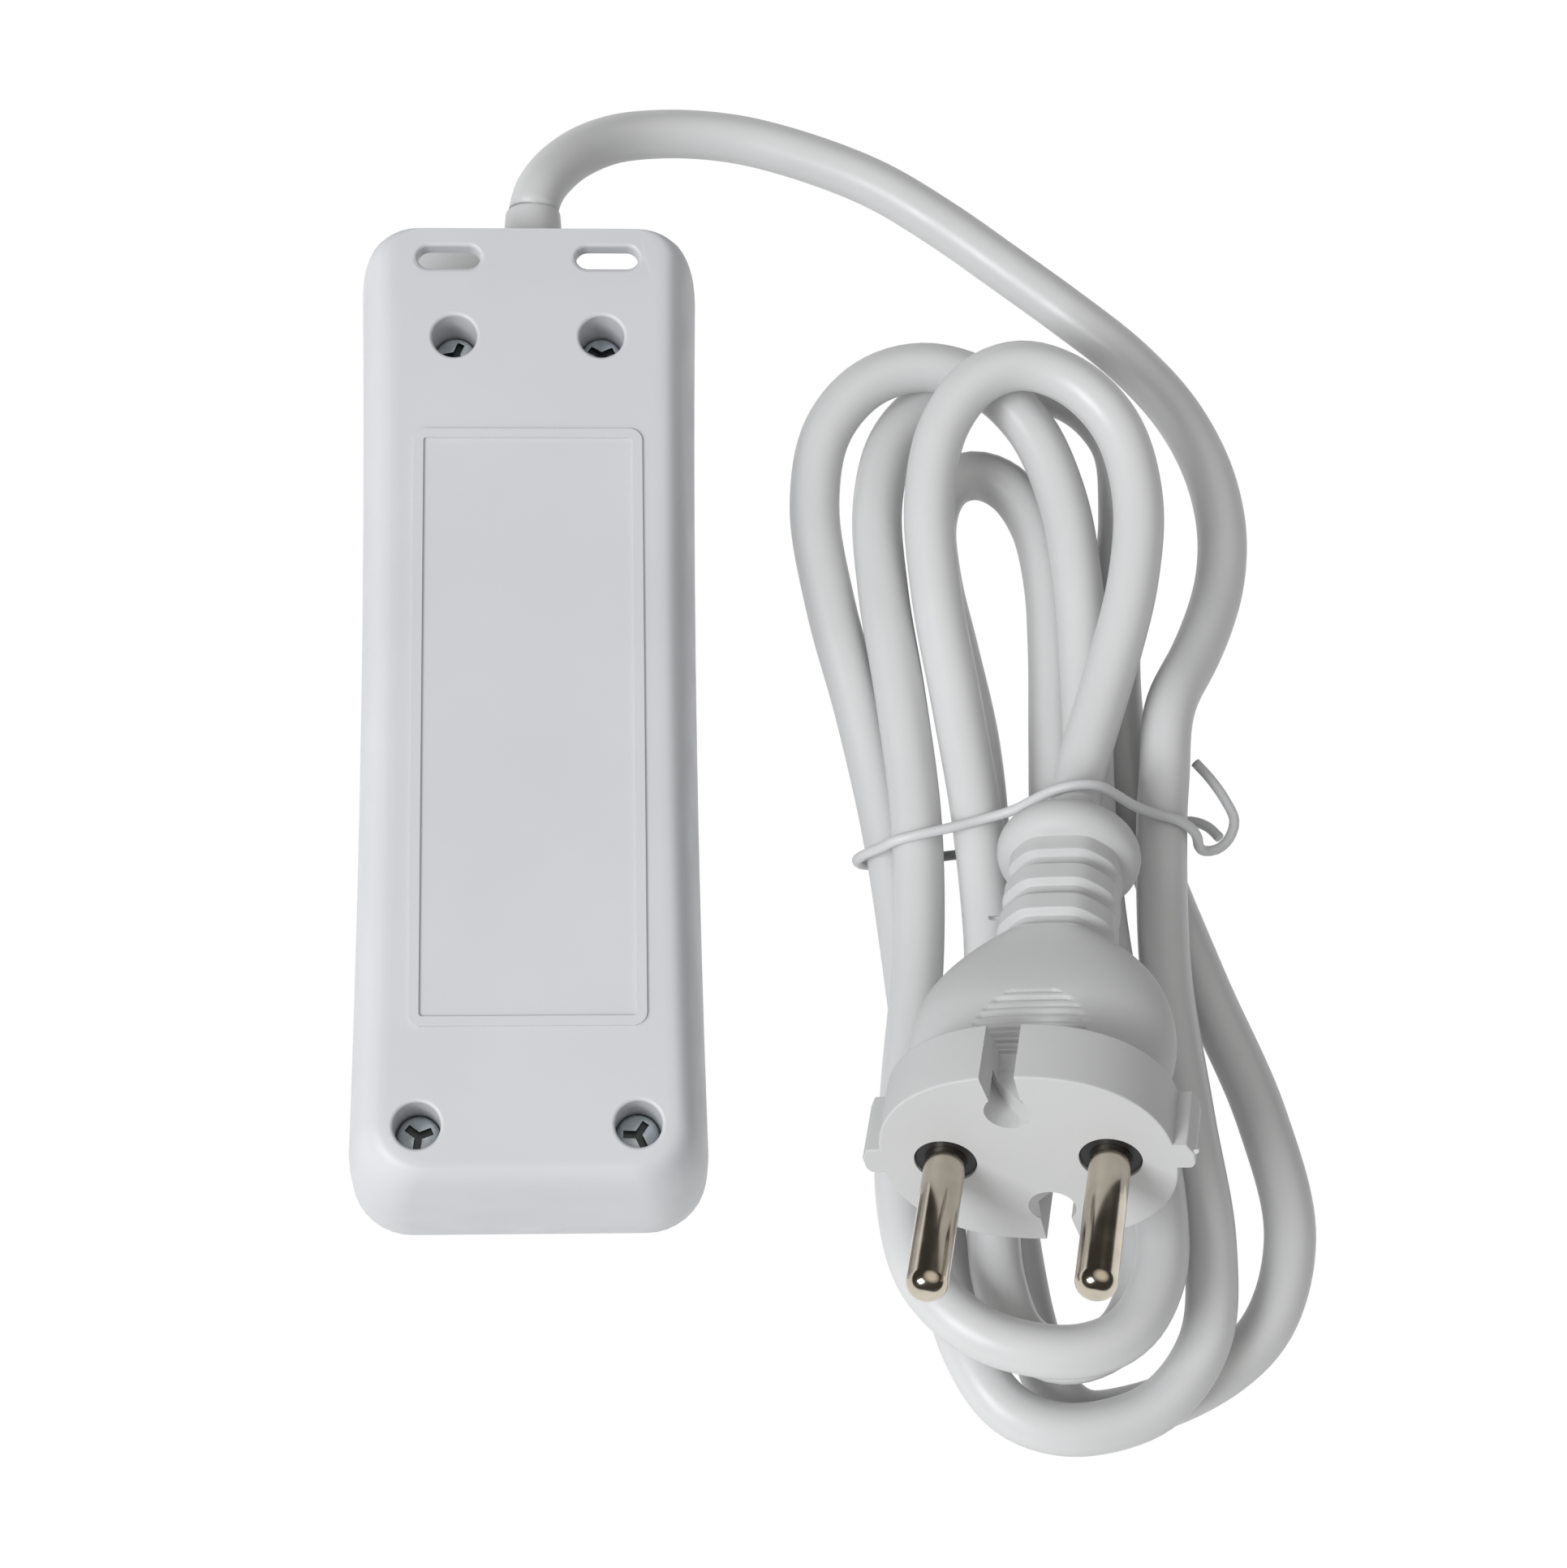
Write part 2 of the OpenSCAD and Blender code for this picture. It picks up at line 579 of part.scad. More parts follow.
// the plug's place: the middle of its face, and where its pins point
plug_place = [56.6, -61.7, plug_z];
plug_turn = -11.9;
plug_rise = 25.5;
plug_roll = 19.2;
pin_way = [sin(plug_turn) * cos(plug_rise), -cos(plug_turn) * cos(plug_rise), sin(plug_rise)];
plug_back = plug_place - pin_way * plug_length;

run_way = unit([right_runs[0][2], 1, 0]);
hank_start = [right_runs[0][0], waist_line, right_runs[0][1]] + run_way * cord_d;
hank_path = concat(
    [hank_start],
    [for (i = [0:3]) each concat(
        half_turn(right_runs[i], near_turns[i], left_runs[i], 1, hank_steps),
        half_turn(left_runs[i], far_turns[i], i < 3 ? right_runs[i + 1] : last_run, -1,
                  i < 3 ? hank_steps : hank_steps - 1))],
    [plug_back - pin_way * cord_d, plug_back]);

// the least distance between two points of the hank that are over three diameters apart along it
function walk(p) = [for (i = 0, s = 0; i < len(p); s = s + (i + 1 < len(p) ? norm(p[i + 1] - p[i]) : 0), i = i + 1) s];
function halves(p) = [for (i = [0:len(p) - 2]) each [p[i], (p[i] + p[i + 1]) / 2]];
function least_gap(p) =
    let (q = halves(p), s = walk(q))
    min([for (i = [0:len(q) - 1], j = [i + 1:1:len(q) - 1]) if (s[j] - s[i] > 3.5 * cord_d) norm(q[j] - q[i])]) - cord_d;

module cord_hank() {
    echo(hank_length = walk(hank_path)[len(hank_path) - 1], least_gap = least_gap(hank_path));
    color("gainsboro") sweep(hank_path, cord_d / 2, 6);
}

// the free stretch from the sleeve's tip to the start of the hank
free_path = concat(
    [sleeve_tip, sleeve_tip + [0.2, 1.5, 0]],
    [[1.9, 73.6, 13.2], [4.2, 77.4, 11.2], [7.4, 80.9, 8.7], [11.4, 83.6, 6.4], [16.4, 85.2, 4.5], [22, 85.7, 3.5],
     [28.5, 85, 3.2], [37, 82.5, 3.2],
     [46, 78.6, 3.2], [54.5, 73, 3.2], [63, 66.4, 3.2], [71, 60, 3.2], [78.5, 53.4, 3.2], [84.5, 46, 3.2],
     [88.2, 38, 3.2], [89.6, 30, 3.3], [88.9, 22.5, 4.2], [86.6, 15.4, 6.4], [83.6, 9, 8.9], [81.2, 4.6, 10.8]],
    [hank_start + run_way * cord_d, hank_start]);

module cord_free() {
    echo(free_length = walk(free_path)[len(free_path) - 1]);
    color("gainsboro") sweep(free_path, cord_d / 2, 12);
}

// the tie's route: from its short end under the bundle, round the left, over the top and back to its long end
tie_path = [[86.9, -12.6, 5.2], [85.6, -10.9, 4.4], [83.6, -9.8, 3.2], [81.4, -9.8, 1.9], [78.8, -10.4, 0.9],
            [74, -11, 0.7], [66, -12, 0.7], [57, -13, 0.7], [49, -14, 0.7], [44.6, -14.6, 0.8], [42, -15, 2],
            [41, -15.2, 4.6], [41.6, -15.4, 7.6], [43.6, -15.5, 11.4], [45, -15.4, 13.8], [47.6, -15, 15],
            [51.6, -14.2, 15.3], [55.6, -13.2, 15.5], [59.6, -12.4, 17], [62.4, -11.7, 20.2], [64.6, -11.3, 22.2],
            [67.2, -11, 22.9], [69.6, -11, 22.3], [71.6, -11.4, 20.4], [74.4, -12, 17.4], [77.4, -12.6, 15.7],
            [80, -13.2, 15.2], [81.9, -13.9, 13.9], [83, -14.4, 11.6], [83.6, -14.8, 9], [84.6, -14.9, 7.2],
            [86.2, -14.6, 6.9], [87.8, -13.2, 6.9], [88.6, -10.8, 6.9], [87.6, -8.1, 6.8], [85.9, -5.2, 6.5],
            [84.2, -2.9, 6]];

module twist_tie() { color("whitesmoke") sweep(tie_path, tie_d / 2, 8, [0, 1, 1]); }

// ---- the plug, drawn with its face at z = 0 and its pins along +Z ----

module placed_plug()
    translate(plug_place) rotate([0, 0, plug_turn]) rotate([90 - plug_rise, 0, 0]) rotate([0, 0, plug_roll])
        children();

// an oval of n points with soft corners, half sizes a and b, at the height z
function oval(a, b, z, power, n = 40) =
    [for (k = [0:n - 1]) let (c = cos(360 * k / n), s = sin(360 * k / n))
        [a * sign(c) * pow(abs(c), 2 / power), b * sign(s) * pow(abs(s), 2 / power), z]];

neck_start = 31;
neck_end = 44.5;
// the grip behind the rim: distance from the face, half width, half height
grip_stations = [[6, 12.4, 8.8], [8.6, 13.2, 8.7], [10.5, 14, 8], [13, 14.8, 7.6], [16, 15.2, 7.9],
                 [19, 15, 8.5], [22, 14.2, 8.8], [25, 12.6, 8.6], [27.5, 10.6, 8], [29.5, 8.8, 7.2]];
neck_grooves = [31.2, 36.4, 41.2];
groove_w = 2.2;

module grip() {
    neck_a = neck_w / 2;
    neck_b = neck_w / 2 - 0.7;
    necks = [for (g = neck_grooves) each [
        [g - groove_w / 2 - 0.2, 0], [g - groove_w / 2 + 0.2, neck_groove],
        [g + groove_w / 2 - 0.2, neck_groove], [g + groove_w / 2 + 0.2, 0]]];
    skin(concat(
        [for (i = [len(necks) - 1:-1:0]) oval(neck_a - necks[i][1], neck_b - necks[i][1], -necks[i][0], 3.2)],
        [for (i = [len(grip_stations) - 1:-1:0])
            oval(grip_stations[i][1], grip_stations[i][2], -grip_stations[i][0], 2.6)]));
}

module plug_flange() {
    rotate_extrude() polygon([[0, -plug_length], [cord_d / 2 + 1.6, -plug_length],
        [flange_d / 2 - 1.6, -plug_length + 0.5], [flange_d / 2 - 0.5, -plug_length + 1.4],
        [flange_d / 2, -plug_length + 2.6], [flange_d / 2, -plug_length + flange_t],
        [flange_d / 2 - 0.4, -plug_length + flange_t + 0.6], [neck_w / 2 - 0.6, -neck_end - 2.4],
        [neck_w / 2 - 0.6, -neck_end + 3], [0, -neck_end + 3]]);
}

module rim() {
    difference() {
        union() {
            translate([0, 0, -rim_depth]) linear_extrude(rim_depth)
                polygon([for (p = oval(plug_face_w / 2, plug_face_h / 2, 0, 2.25, 64)) [p[0], p[1]]]);
            for (s = [-1, 1]) intersection() {
                translate([0, 0, -rim_depth]) cylinder(d = ear_w, h = rim_depth);
                translate([s > 0 ? 10 : -ear_w / 2 - cut, 2.6 * 1 - ear_h / 2, -rim_depth])
                    cube([ear_w / 2 - 10 + cut, ear_h, rim_depth]);
            }
        }
        for (s = [-1, 1]) rotate([0, 0, s > 0 ? 0 : 180]) {
            translate([-0.9, 9, -rim_depth + 1]) cylinder(d = notch_d, h = rim_depth);
            translate([-1.4 - notch_w / 2, 9, -rim_depth - cut]) cube([notch_w, plug_face_h, rim_depth + 2 * cut]);
        }
        for (s = [-1, 1]) translate([0, 2.8, -rim_depth + 1.5]) linear_extrude(rim_depth)
            polygon([[s * 16.2, 0], [s * (ear_w / 2 + cut), -3.2], [s * (ear_w / 2 + cut), 3.2]]);
    }
}

bridge_w = 26;
bridge_h = 9;
bridge_front = 3.2;
bridge_back = rim_depth - 0.6;
ring_recess = 0.8;       // the black rings end this far behind the plug's face
shoulder_z = 0.3 - ring_recess;
shank_d = plug_pin_d - 0.8;
crimp_l = 7;
crimp_d = 3.8;
tail_l = 4;
crimp_end = bridge_back + tail_l + crimp_l;
jacket_in = 12;          // how far the cord's jacket runs into the plug
core_end = plug_length - jacket_in;

// the black carrier, grown by g for its seat in the body
module bridge_form(g) {
    translate([-bridge_w / 2 - g, -bridge_h / 2 - g, -bridge_back - g])
        cube([bridge_w + 2 * g, bridge_h + 2 * g, bridge_back - bridge_front + 2 * g]);
    for (s = [-1, 1]) translate([s * pin_spacing / 2, 0, -bridge_front - 0.5])
        cylinder(d = pin_base_d + 2 * g, h = bridge_front + 0.5 + (g > 0 ? cut : -ring_recess));
}

module crimp_form(s, g) {
    translate([s * pin_spacing / 2, 0, -crimp_end - g]) cylinder(d = crimp_d + 2 * g, h = crimp_l + g);
}

// a core in the plug, grown by g for its seat: in towards the neck, then along it
module core_form(s, g) {
    bend = [s * 3, 0, -neck_start + 3];
    rod([s * (pin_spacing / 2 - 0.5 + 4 * g), 0, -crimp_end - 0.75 + 6 * g], bend, core_d / 2 + g);
    rod(bend, [s * (core_d / 2 + 0.2), 0, -core_end + 0.2], core_d / 2 + g);
    translate(bend) sphere(core_d / 2 + g + 0.06);
}

module plug_body() {
    color("gainsboro") placed_plug() difference() {
        union() {
            rim();
            grip();
            plug_flange();
        }
        bridge_form(fit_gap);
        for (s = [-1, 1]) {
            translate([s * pin_spacing / 2, 0, -crimp_end - fit_gap])
                cylinder(d = plug_pin_d + 0.2, h = crimp_end - bridge_front);
            core_form(s, 2 * fit_gap);
        }
        translate([0, 0, -plug_length - cut]) cylinder(d = cord_d + 2 * fit_gap, h = jacket_in + cut);
    }
}

module plug_bridge() {
    color("dimgray") placed_plug() difference() {
        bridge_form(0);
        for (s = [-1, 1]) translate([s * pin_spacing / 2, 0, -crimp_end])
            cylinder(d = shank_d + 2 * fit_gap, h = crimp_end + cut);
    }
}

module plug_pin(s) {
    tip = 1.6;
    color("silver") placed_plug() translate([s * pin_spacing / 2, 0, 0]) {
        rotate_extrude() polygon(concat(
            [[0, -bridge_back], [shank_d / 2, -bridge_back], [shank_d / 2, shoulder_z],
             [plug_pin_d / 2, shoulder_z], [plug_pin_d / 2, plug_pin_l - tip]],
            [for (a = [15:15:75]) [plug_pin_d / 2 - tip + tip * cos(a), plug_pin_l - tip + tip * sin(a)]],
            [[plug_pin_d / 2 - tip, plug_pin_l], [0, plug_pin_l]]));
        translate([0, 0, -bridge_back - tail_l]) cylinder(d = 3, h = tail_l + 0.1);
    }
}

module plug_pin_left() plug_pin(-1);
module plug_pin_right() plug_pin(1);

module plug_crimps() { color("goldenrod") placed_plug() for (s = [-1, 1]) crimp_form(s, 0); }

module plug_cores() {
    color("saddlebrown") placed_plug() for (s = [-1, 1]) core_form(s, 0);
}

module plug_cord_end() {
    color("gainsboro") placed_plug() translate([0, 0, -plug_length]) cylinder(d = cord_d, h = jacket_in - fit_gap);
}

front_housing();
back_cover();
cover_screws();
bus_bar_live();
bus_bar_neutral();
cord_clamp();
clamp_screws();
cord_sleeve();
cord_tail();
core_live();
core_neutral();
core_lugs();
cord_free();
cord_hank();
twist_tie();
plug_body();
plug_bridge();
plug_pin_left();
plug_pin_right();
plug_crimps();
plug_cores();
plug_cord_end();
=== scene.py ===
"""Looks of the extension cord: a moulded outlet box lying on its face, its cord in a tied hank, and its plug.

Sizes are millimetres in the row's own frame until a mesh is made, where MM turns them into metres.
"""

import math

import bmesh
import bpy
from mathutils import Matrix, Vector


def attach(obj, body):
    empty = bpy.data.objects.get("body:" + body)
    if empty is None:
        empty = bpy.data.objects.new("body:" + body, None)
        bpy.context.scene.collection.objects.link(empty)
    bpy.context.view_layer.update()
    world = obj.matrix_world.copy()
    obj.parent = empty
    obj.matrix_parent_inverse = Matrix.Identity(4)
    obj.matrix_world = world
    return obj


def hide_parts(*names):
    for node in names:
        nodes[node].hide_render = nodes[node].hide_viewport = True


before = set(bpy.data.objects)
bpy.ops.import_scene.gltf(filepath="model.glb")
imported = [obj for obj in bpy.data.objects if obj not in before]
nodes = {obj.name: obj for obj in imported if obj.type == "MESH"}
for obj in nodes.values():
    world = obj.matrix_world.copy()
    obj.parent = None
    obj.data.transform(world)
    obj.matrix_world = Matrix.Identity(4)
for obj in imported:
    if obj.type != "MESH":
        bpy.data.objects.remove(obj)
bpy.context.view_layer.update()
MM = 0.001


# ---------------------------------------------------------------- camera

CAMERA_PLACE = (4.88, -153.68, 483.04)
CAMERA_TURN = (17.281, -2.906, -1.073)
CAMERA_LENS = 91.3


def make_camera():
    data = bpy.data.cameras.new("camera")
    data.lens = CAMERA_LENS
    data.sensor_width = 36
    data.clip_start, data.clip_end = 0.02, 20
    cam = bpy.data.objects.new("camera", data)
    bpy.context.scene.collection.objects.link(cam)
    cam.location = Vector(CAMERA_PLACE) * MM
    cam.rotation_euler = [math.radians(a) for a in CAMERA_TURN]
    bpy.context.scene.camera = cam


make_camera()


# ---------------------------------------------------------------- mesh helpers

def link_mesh(name, verts, faces):
    """A smooth mesh object from points in millimetres, its place in its mesh."""
    mesh = bpy.data.meshes.new(name)
    mesh.from_pydata([Vector(v) * MM for v in verts], [], faces)
    mesh.validate()
    mesh.polygons.foreach_set("use_smooth", [True] * len(mesh.polygons))
    obj = bpy.data.objects.new(name, mesh)
    bpy.context.scene.collection.objects.link(obj)
    return obj


def outward(obj):
    """Merges doubles and turns every face outwards."""
    work = bmesh.new()
    work.from_mesh(obj.data)
    bmesh.ops.remove_doubles(work, verts=work.verts, dist=1e-7)
    bmesh.ops.recalc_face_normals(work, faces=work.faces)
    work.to_mesh(obj.data)
    work.free()
    return obj


def ring_faces(count, n, ring_shaped=False):
    """Faces over rings of n points each. The ends are closed, or the last ring joins the first."""
    faces = []
    for i in range(count if ring_shaped else count - 1):
        a, b = i * n, (i + 1) % count * n
        faces += [(a + k, a + (k + 1) % n, b + (k + 1) % n, b + k) for k in range(n)]
    if not ring_shaped:
        faces += [tuple(reversed(range(n))), tuple(range((count - 1) * n, count * n))]
    return faces


def skin(name, rings, ring_shaped=False):
    """A closed form over rings that all have the same number of points."""
    faces = ring_faces(len(rings), len(rings[0]), ring_shaped)
    return outward(link_mesh(name, [p for ring in rings for p in ring], faces))


def apply_modifiers(obj):
    """Turns the evaluated object into its plain mesh."""
    view = bpy.context.evaluated_depsgraph_get()
    mesh = bpy.data.meshes.new_from_object(obj.evaluated_get(view))
    obj.modifiers.clear()
    obj.data = mesh
    return obj


def combine(obj, other, how):
    """Exact boolean of two closed forms; the other one is used up."""
    mod = obj.modifiers.new("boolean", "BOOLEAN")
    mod.operation, mod.solver, mod.object = how, "EXACT", other
    apply_modifiers(obj)
    bpy.data.objects.remove(other)
    return obj


def cut(obj, *cutters):
    for cutter in cutters:
        combine(obj, cutter, "DIFFERENCE")
    return obj


def join(obj, *others):
    for other in others:
        combine(obj, other, "UNION")
    return obj


def round_edges(obj, width, angle=38, segments=2):
    """Small rounds on the sharp edges."""
    mod = obj.modifiers.new("round", "BEVEL")
    mod.width, mod.segments = width * MM, segments
    mod.limit_method, mod.angle_limit = "ANGLE", math.radians(angle)
    mod.use_clamp_overlap = True
    return apply_modifiers(obj)


def even_normals(obj, angle=40):
    """Normals that keep flat faces flat beside the rounds."""
    obj.data.polygons.foreach_set("use_smooth", [True] * len(obj.data.polygons))
    obj.data.set_sharp_from_angle(angle=math.radians(angle))
    mod = obj.modifiers.new("normals", "WEIGHTED_NORMAL")
    mod.keep_sharp = True
    mod.weight = 90
    return apply_modifiers(obj)


def full_turn(count):
    """Cosine and sine of the angles of a full turn."""
    return [(math.cos(2 * math.pi * k / count), math.sin(2 * math.pi * k / count)) for k in range(count)]


def circle_points(radius, z, centre=(0, 0), count=48):
    return [Vector((centre[0] + radius * c, centre[1] + radius * s, z)) for c, s in full_turn(count)]


def lathe(name, profile, centre=(0, 0), count=48):
    """A closed form turned about a line along Z, from (radius, height) pairs."""
    return skin(name, [circle_points(r, z, centre, count) for r, z in profile])


def drum(name, radius, z0, z1, centre=(0, 0), count=48):
    return lathe(name, [(radius, z0), (radius, z1)], centre, count)


def prism(name, outline, z0, z1):
    return skin(name, [[Vector((x, y, z)) for x, y in outline] for z in (z0, z1)])


def block(name, half_w, half_h, z0, z1):
    outline = [(-half_w, -half_h), (half_w, -half_h), (half_w, half_h), (-half_w, half_h)]
    return prism(name, outline, z0, z1)


def arc(steps=6):
    """Angles of a quarter turn."""
    return [math.pi / 2 * k / steps for k in range(steps + 1)]


def moved(obj, matrix):
    """Moves the mesh itself, so that the object stays at the origin."""
    in_metres = matrix.copy()
    in_metres.translation = matrix.translation * MM
    obj.data.transform(in_metres)
    return obj


def finish_piece(obj, material, slot, *replaced):
    """Gives a piece its material, its body and the CAD nodes that it stands for; the slot argument is not
    used.
    """
    obj.data.materials.clear()
    obj.data.materials.append(material)
    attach(obj, "root")
    if replaced:
        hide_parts(*replaced)
    return obj


# ---------------------------------------------------------------- node tree helpers

def math_node(tree, operation, *values, clamp=False):
    """A math node whose inputs are numbers or other nodes' sockets."""
    node = tree.nodes.new("ShaderNodeMath")
    node.operation = operation
    node.use_clamp = clamp
    for socket, value in zip(node.inputs, values):
        if isinstance(value, (int, float)):
            socket.default_value = value
        else:
            tree.links.new(value, socket)
    return node.outputs[0]


def map_range(tree, value, start, end, low, high):
    node = tree.nodes.new("ShaderNodeMapRange")
    for label, number in (("From Min", start), ("From Max", end), ("To Min", low), ("To Max", high)):
        node.inputs[label].default_value = number
    tree.links.new(value, node.inputs["Value"])
    return node.outputs["Result"]


def lay_over(tree, factor, under, colour):
    """A colour laid over another one by a factor."""
    node = tree.nodes.new("ShaderNodeMix")
    node.data_type = "RGBA"
    node.inputs["B"].default_value = (*colour, 1)
    tree.links.new(factor, node.inputs["Factor"])
    tree.links.new(under, node.inputs["A"])
    return node.outputs["Result"]


def how_far_along(tree, way, direction):
    node = tree.nodes.new("ShaderNodeVectorMath")
    node.operation = "DOT_PRODUCT"
    node.inputs[1].default_value = direction
    tree.links.new(way, node.inputs[0])
    return node.outputs["Value"]


def new_geometry_tree(name, **inputs):
    """A geometry tree with named inputs; each is a length in metres or the kind of its socket."""
    tree = bpy.data.node_groups.new(name, "GeometryNodeTree")
    tree.interface.new_socket("Geometry", in_out="INPUT", socket_type="NodeSocketGeometry")
    for label, value in inputs.items():
        kind = value if isinstance(value, str) else "NodeSocketFloat"
        socket = tree.interface.new_socket(label.replace("_", " "), in_out="INPUT", socket_type=kind)
        if not isinstance(value, str):
            socket.default_value = value
    tree.interface.new_socket("Geometry", in_out="OUTPUT", socket_type="NodeSocketGeometry")
    start, end = tree.nodes.new("NodeGroupInput"), tree.nodes.new("NodeGroupOutput")
    return tree, start, end


def end_tree(tree, start, end, geometry):
    """Ends a geometry tree: its instances are made real and get the material of its Finish input."""
    realize = tree.nodes.new("GeometryNodeRealizeInstances")
    finish = tree.nodes.new("GeometryNodeSetMaterial")
    tree.links.new(geometry, realize.inputs["Geometry"])
    tree.links.new(realize.outputs["Geometry"], finish.inputs["Geometry"])
    tree.links.new(start.outputs["Finish"], finish.inputs["Material"])
    tree.links.new(finish.outputs["Geometry"], end.inputs["Geometry"])


def run_tree(obj, tree, **inputs):
    """Runs a geometry tree on an object and keeps the result as its plain mesh."""
    mod = obj.modifiers.new(tree.name, "NODES")
    mod.node_group = tree
    sockets = {s.name: s.identifier for s in tree.interface.items_tree if getattr(s, "in_out", "") == "INPUT"}
    for label, value in inputs.items():
        mod[sockets[label.replace("_", " ")]] = value
    return apply_modifiers(obj)


# ---------------------------------------------------------------- materials

def new_material(name, colour, roughness, specular=0.5):
    mat = bpy.data.materials.new(name)
    mat.use_nodes = True
    shader = mat.node_tree.nodes["Principled BSDF"]
    shader.inputs["Base Color"].default_value = (*colour, 1)
    shader.inputs["Roughness"].default_value = roughness
    shader.inputs["Specular IOR Level"].default_value = specular
    return mat, mat.node_tree, shader


def noise(tree, coord, scale, detail=3.0):
    node = tree.nodes.new("ShaderNodeTexNoise")
    node.inputs["Scale"].default_value = scale
    node.inputs["Detail"].default_value = detail
    tree.links.new(coord, node.inputs["Vector"])
    return node.outputs["Fac"]


def ramp(tree, fac, low, high, start=0.35, end=0.65):
    node = tree.nodes.new("ShaderNodeValToRGB")
    node.color_ramp.elements[0].position, node.color_ramp.elements[1].position = start, end
    node.color_ramp.elements[0].color, node.color_ramp.elements[1].color = (*low, 1), (*high, 1)
    tree.links.new(fac, node.inputs["Fac"])
    return node.outputs["Color"]


def moulded(name, low, high, roughness, grain_scale, grain_depth, grain_strength, specks=0.0):
    """Moulded plastic: fine grain in the bump, soft changes of tone and gloss, and a few dust specks."""
    mat, tree, shader = new_material(name, high, roughness)
    coord = tree.nodes.new("ShaderNodeTexCoord").outputs["Object"]
    bump = tree.nodes.new("ShaderNodeBump")
    bump.inputs["Strength"].default_value = grain_strength
    bump.inputs["Distance"].default_value = grain_depth * MM
    tree.links.new(noise(tree, coord, grain_scale), bump.inputs["Height"])
    tree.links.new(bump.outputs["Normal"], shader.inputs["Normal"])
    tone = ramp(tree, noise(tree, coord, 45, 4), low, high)
    gloss = map_range(tree, noise(tree, coord, 160), 0.3, 0.7, roughness - 0.05, roughness + 0.06)
    tree.links.new(gloss, shader.inputs["Roughness"])
    if specks:
        cells = tree.nodes.new("ShaderNodeTexVoronoi")
        cells.inputs["Scale"].default_value = 95
        tree.links.new(coord, cells.inputs["Vector"])
        dust = math_node(tree, "LESS_THAN", cells.outputs["Distance"], specks)
        tone = lay_over(tree, math_node(tree, "MULTIPLY", dust, 0.6), tone, (0.16, 0.14, 0.12))
    tree.links.new(tone, shader.inputs["Base Color"])
    return mat


def plated(name, low, high, roughness, streak, metallic=1.0):
    """Plated metal with faint drawn streaks and worn gloss."""
    mat, tree, shader = new_material(name, high, roughness)
    shader.inputs["Metallic"].default_value = metallic
    mapping = tree.nodes.new("ShaderNodeMapping")
    mapping.inputs["Scale"].default_value = streak
    tree.links.new(tree.nodes.new("ShaderNodeTexCoord").outputs["Object"], mapping.inputs["Vector"])
    wear = noise(tree, mapping.outputs["Vector"], 1, 4)
    tree.links.new(ramp(tree, wear, low, high, 0.3, 0.7), shader.inputs["Base Color"])
    tree.links.new(map_range(tree, wear, 0, 1, roughness * 0.7, roughness * 1.5), shader.inputs["Roughness"])
    return mat


def paint_shade(mat, attribute, colour):
    """Paints shade on the faces that carry the attribute: a dark colour that stands in for the shade falling
    in a hollow.
    """
    tree = mat.node_tree
    base = tree.nodes["Principled BSDF"].inputs["Base Color"]
    shade_mark = tree.nodes.new("ShaderNodeAttribute")
    shade_mark.attribute_name = attribute
    tree.links.new(lay_over(tree, shade_mark.outputs["Fac"], base.links[0].from_socket, colour), base)


SHELL = moulded("shell", (0.628, 0.636, 0.656), (0.652, 0.66, 0.68), 0.42, 4200, 0.012, 0.35)
HOUSING = moulded("housing", (0.615, 0.622, 0.64), (0.64, 0.648, 0.665), 0.4, 4200, 0.012, 0.35)
JACKET = moulded("cord_jacket", (0.64, 0.64, 0.64), (0.675, 0.675, 0.675), 0.36, 2600, 0.012, 0.3, 0.012)
PLUG = moulded("plug_moulding", (0.575, 0.575, 0.575), (0.605, 0.605, 0.605), 0.55, 3600, 0.02, 0.5)
CARRIER = moulded("carrier_black", (0.008, 0.008, 0.009), (0.014, 0.014, 0.015), 0.5, 2000, 0.01, 0.3)
TIE_COVER = moulded("tie_cover", (0.66, 0.665, 0.67), (0.70, 0.705, 0.71), 0.42, 2600, 0.01, 0.3)
BROWN = moulded("core_brown", (0.16, 0.06, 0.025), (0.2, 0.08, 0.03), 0.4, 1500, 0.01, 0.2)
BLUE = moulded("core_blue", (0.03, 0.1, 0.33), (0.05, 0.14, 0.4), 0.4, 1500, 0.01, 0.2)
NICKEL = plated("nickel", (0.50, 0.45, 0.375), (0.62, 0.565, 0.475), 0.15, (300, 300, 300))
ZINC = plated("zinc", (0.55, 0.63, 0.67), (0.82, 0.88, 0.91), 0.22, (700, 700, 700), 0.35)
# painted shade: the faces of the screws' three-winged recess get a dark colour in place of the shade that
# falls in it
paint_shade(ZINC, "recess", (0.05, 0.068, 0.07))
BRASS = plated("brass", (0.62, 0.45, 0.18), (0.78, 0.6, 0.3), 0.28, (900, 900, 60))


# ---------------------------------------------------------------- the outlet box

BOX_LENGTH, BOX_WIDTH, BOX_HEIGHT = 123.0, 42.0, 26.0
SIDE_SWELL, SWELL_LENGTH, WAIST_Y = 0.6, 55.0, 8.5
SIDE_DRAFT, END_DRAFT, EDGE_R = 3.0, 1.4, 2.4
CORD_CORNER_R, END_CORNER_R, FACE_EDGE = 3.6, 7.5, 0.5
WALL, FACE_T, BACK_T, SEAM_Z = 2.0, 2.0, 1.9, 4.0
POCKET_DEPTH, LEDGE_T, LEDGE_Y, LEDGE_FALL = 6.5, 2.5, 53.6, 0.035
END_Y = BOX_LENGTH / 2
END_WALL_Y = END_Y - POCKET_DEPTH
INNER_END_Y = END_WALL_Y - WALL
OUTLET_YS = (-40.25, -3.25, 33.75)
WELL_R, WELL_DEPTH, WELL_TOP, WELL_WALL = 18.0, 4.5, 6.5, 1.2
PIN_SPACING, PIN_HOLE_R, COLLAR_R, COLLAR_TOP = 19.0, 2.6, 4.0, 9.1
PIN_XS = (-PIN_SPACING / 2, PIN_SPACING / 2)
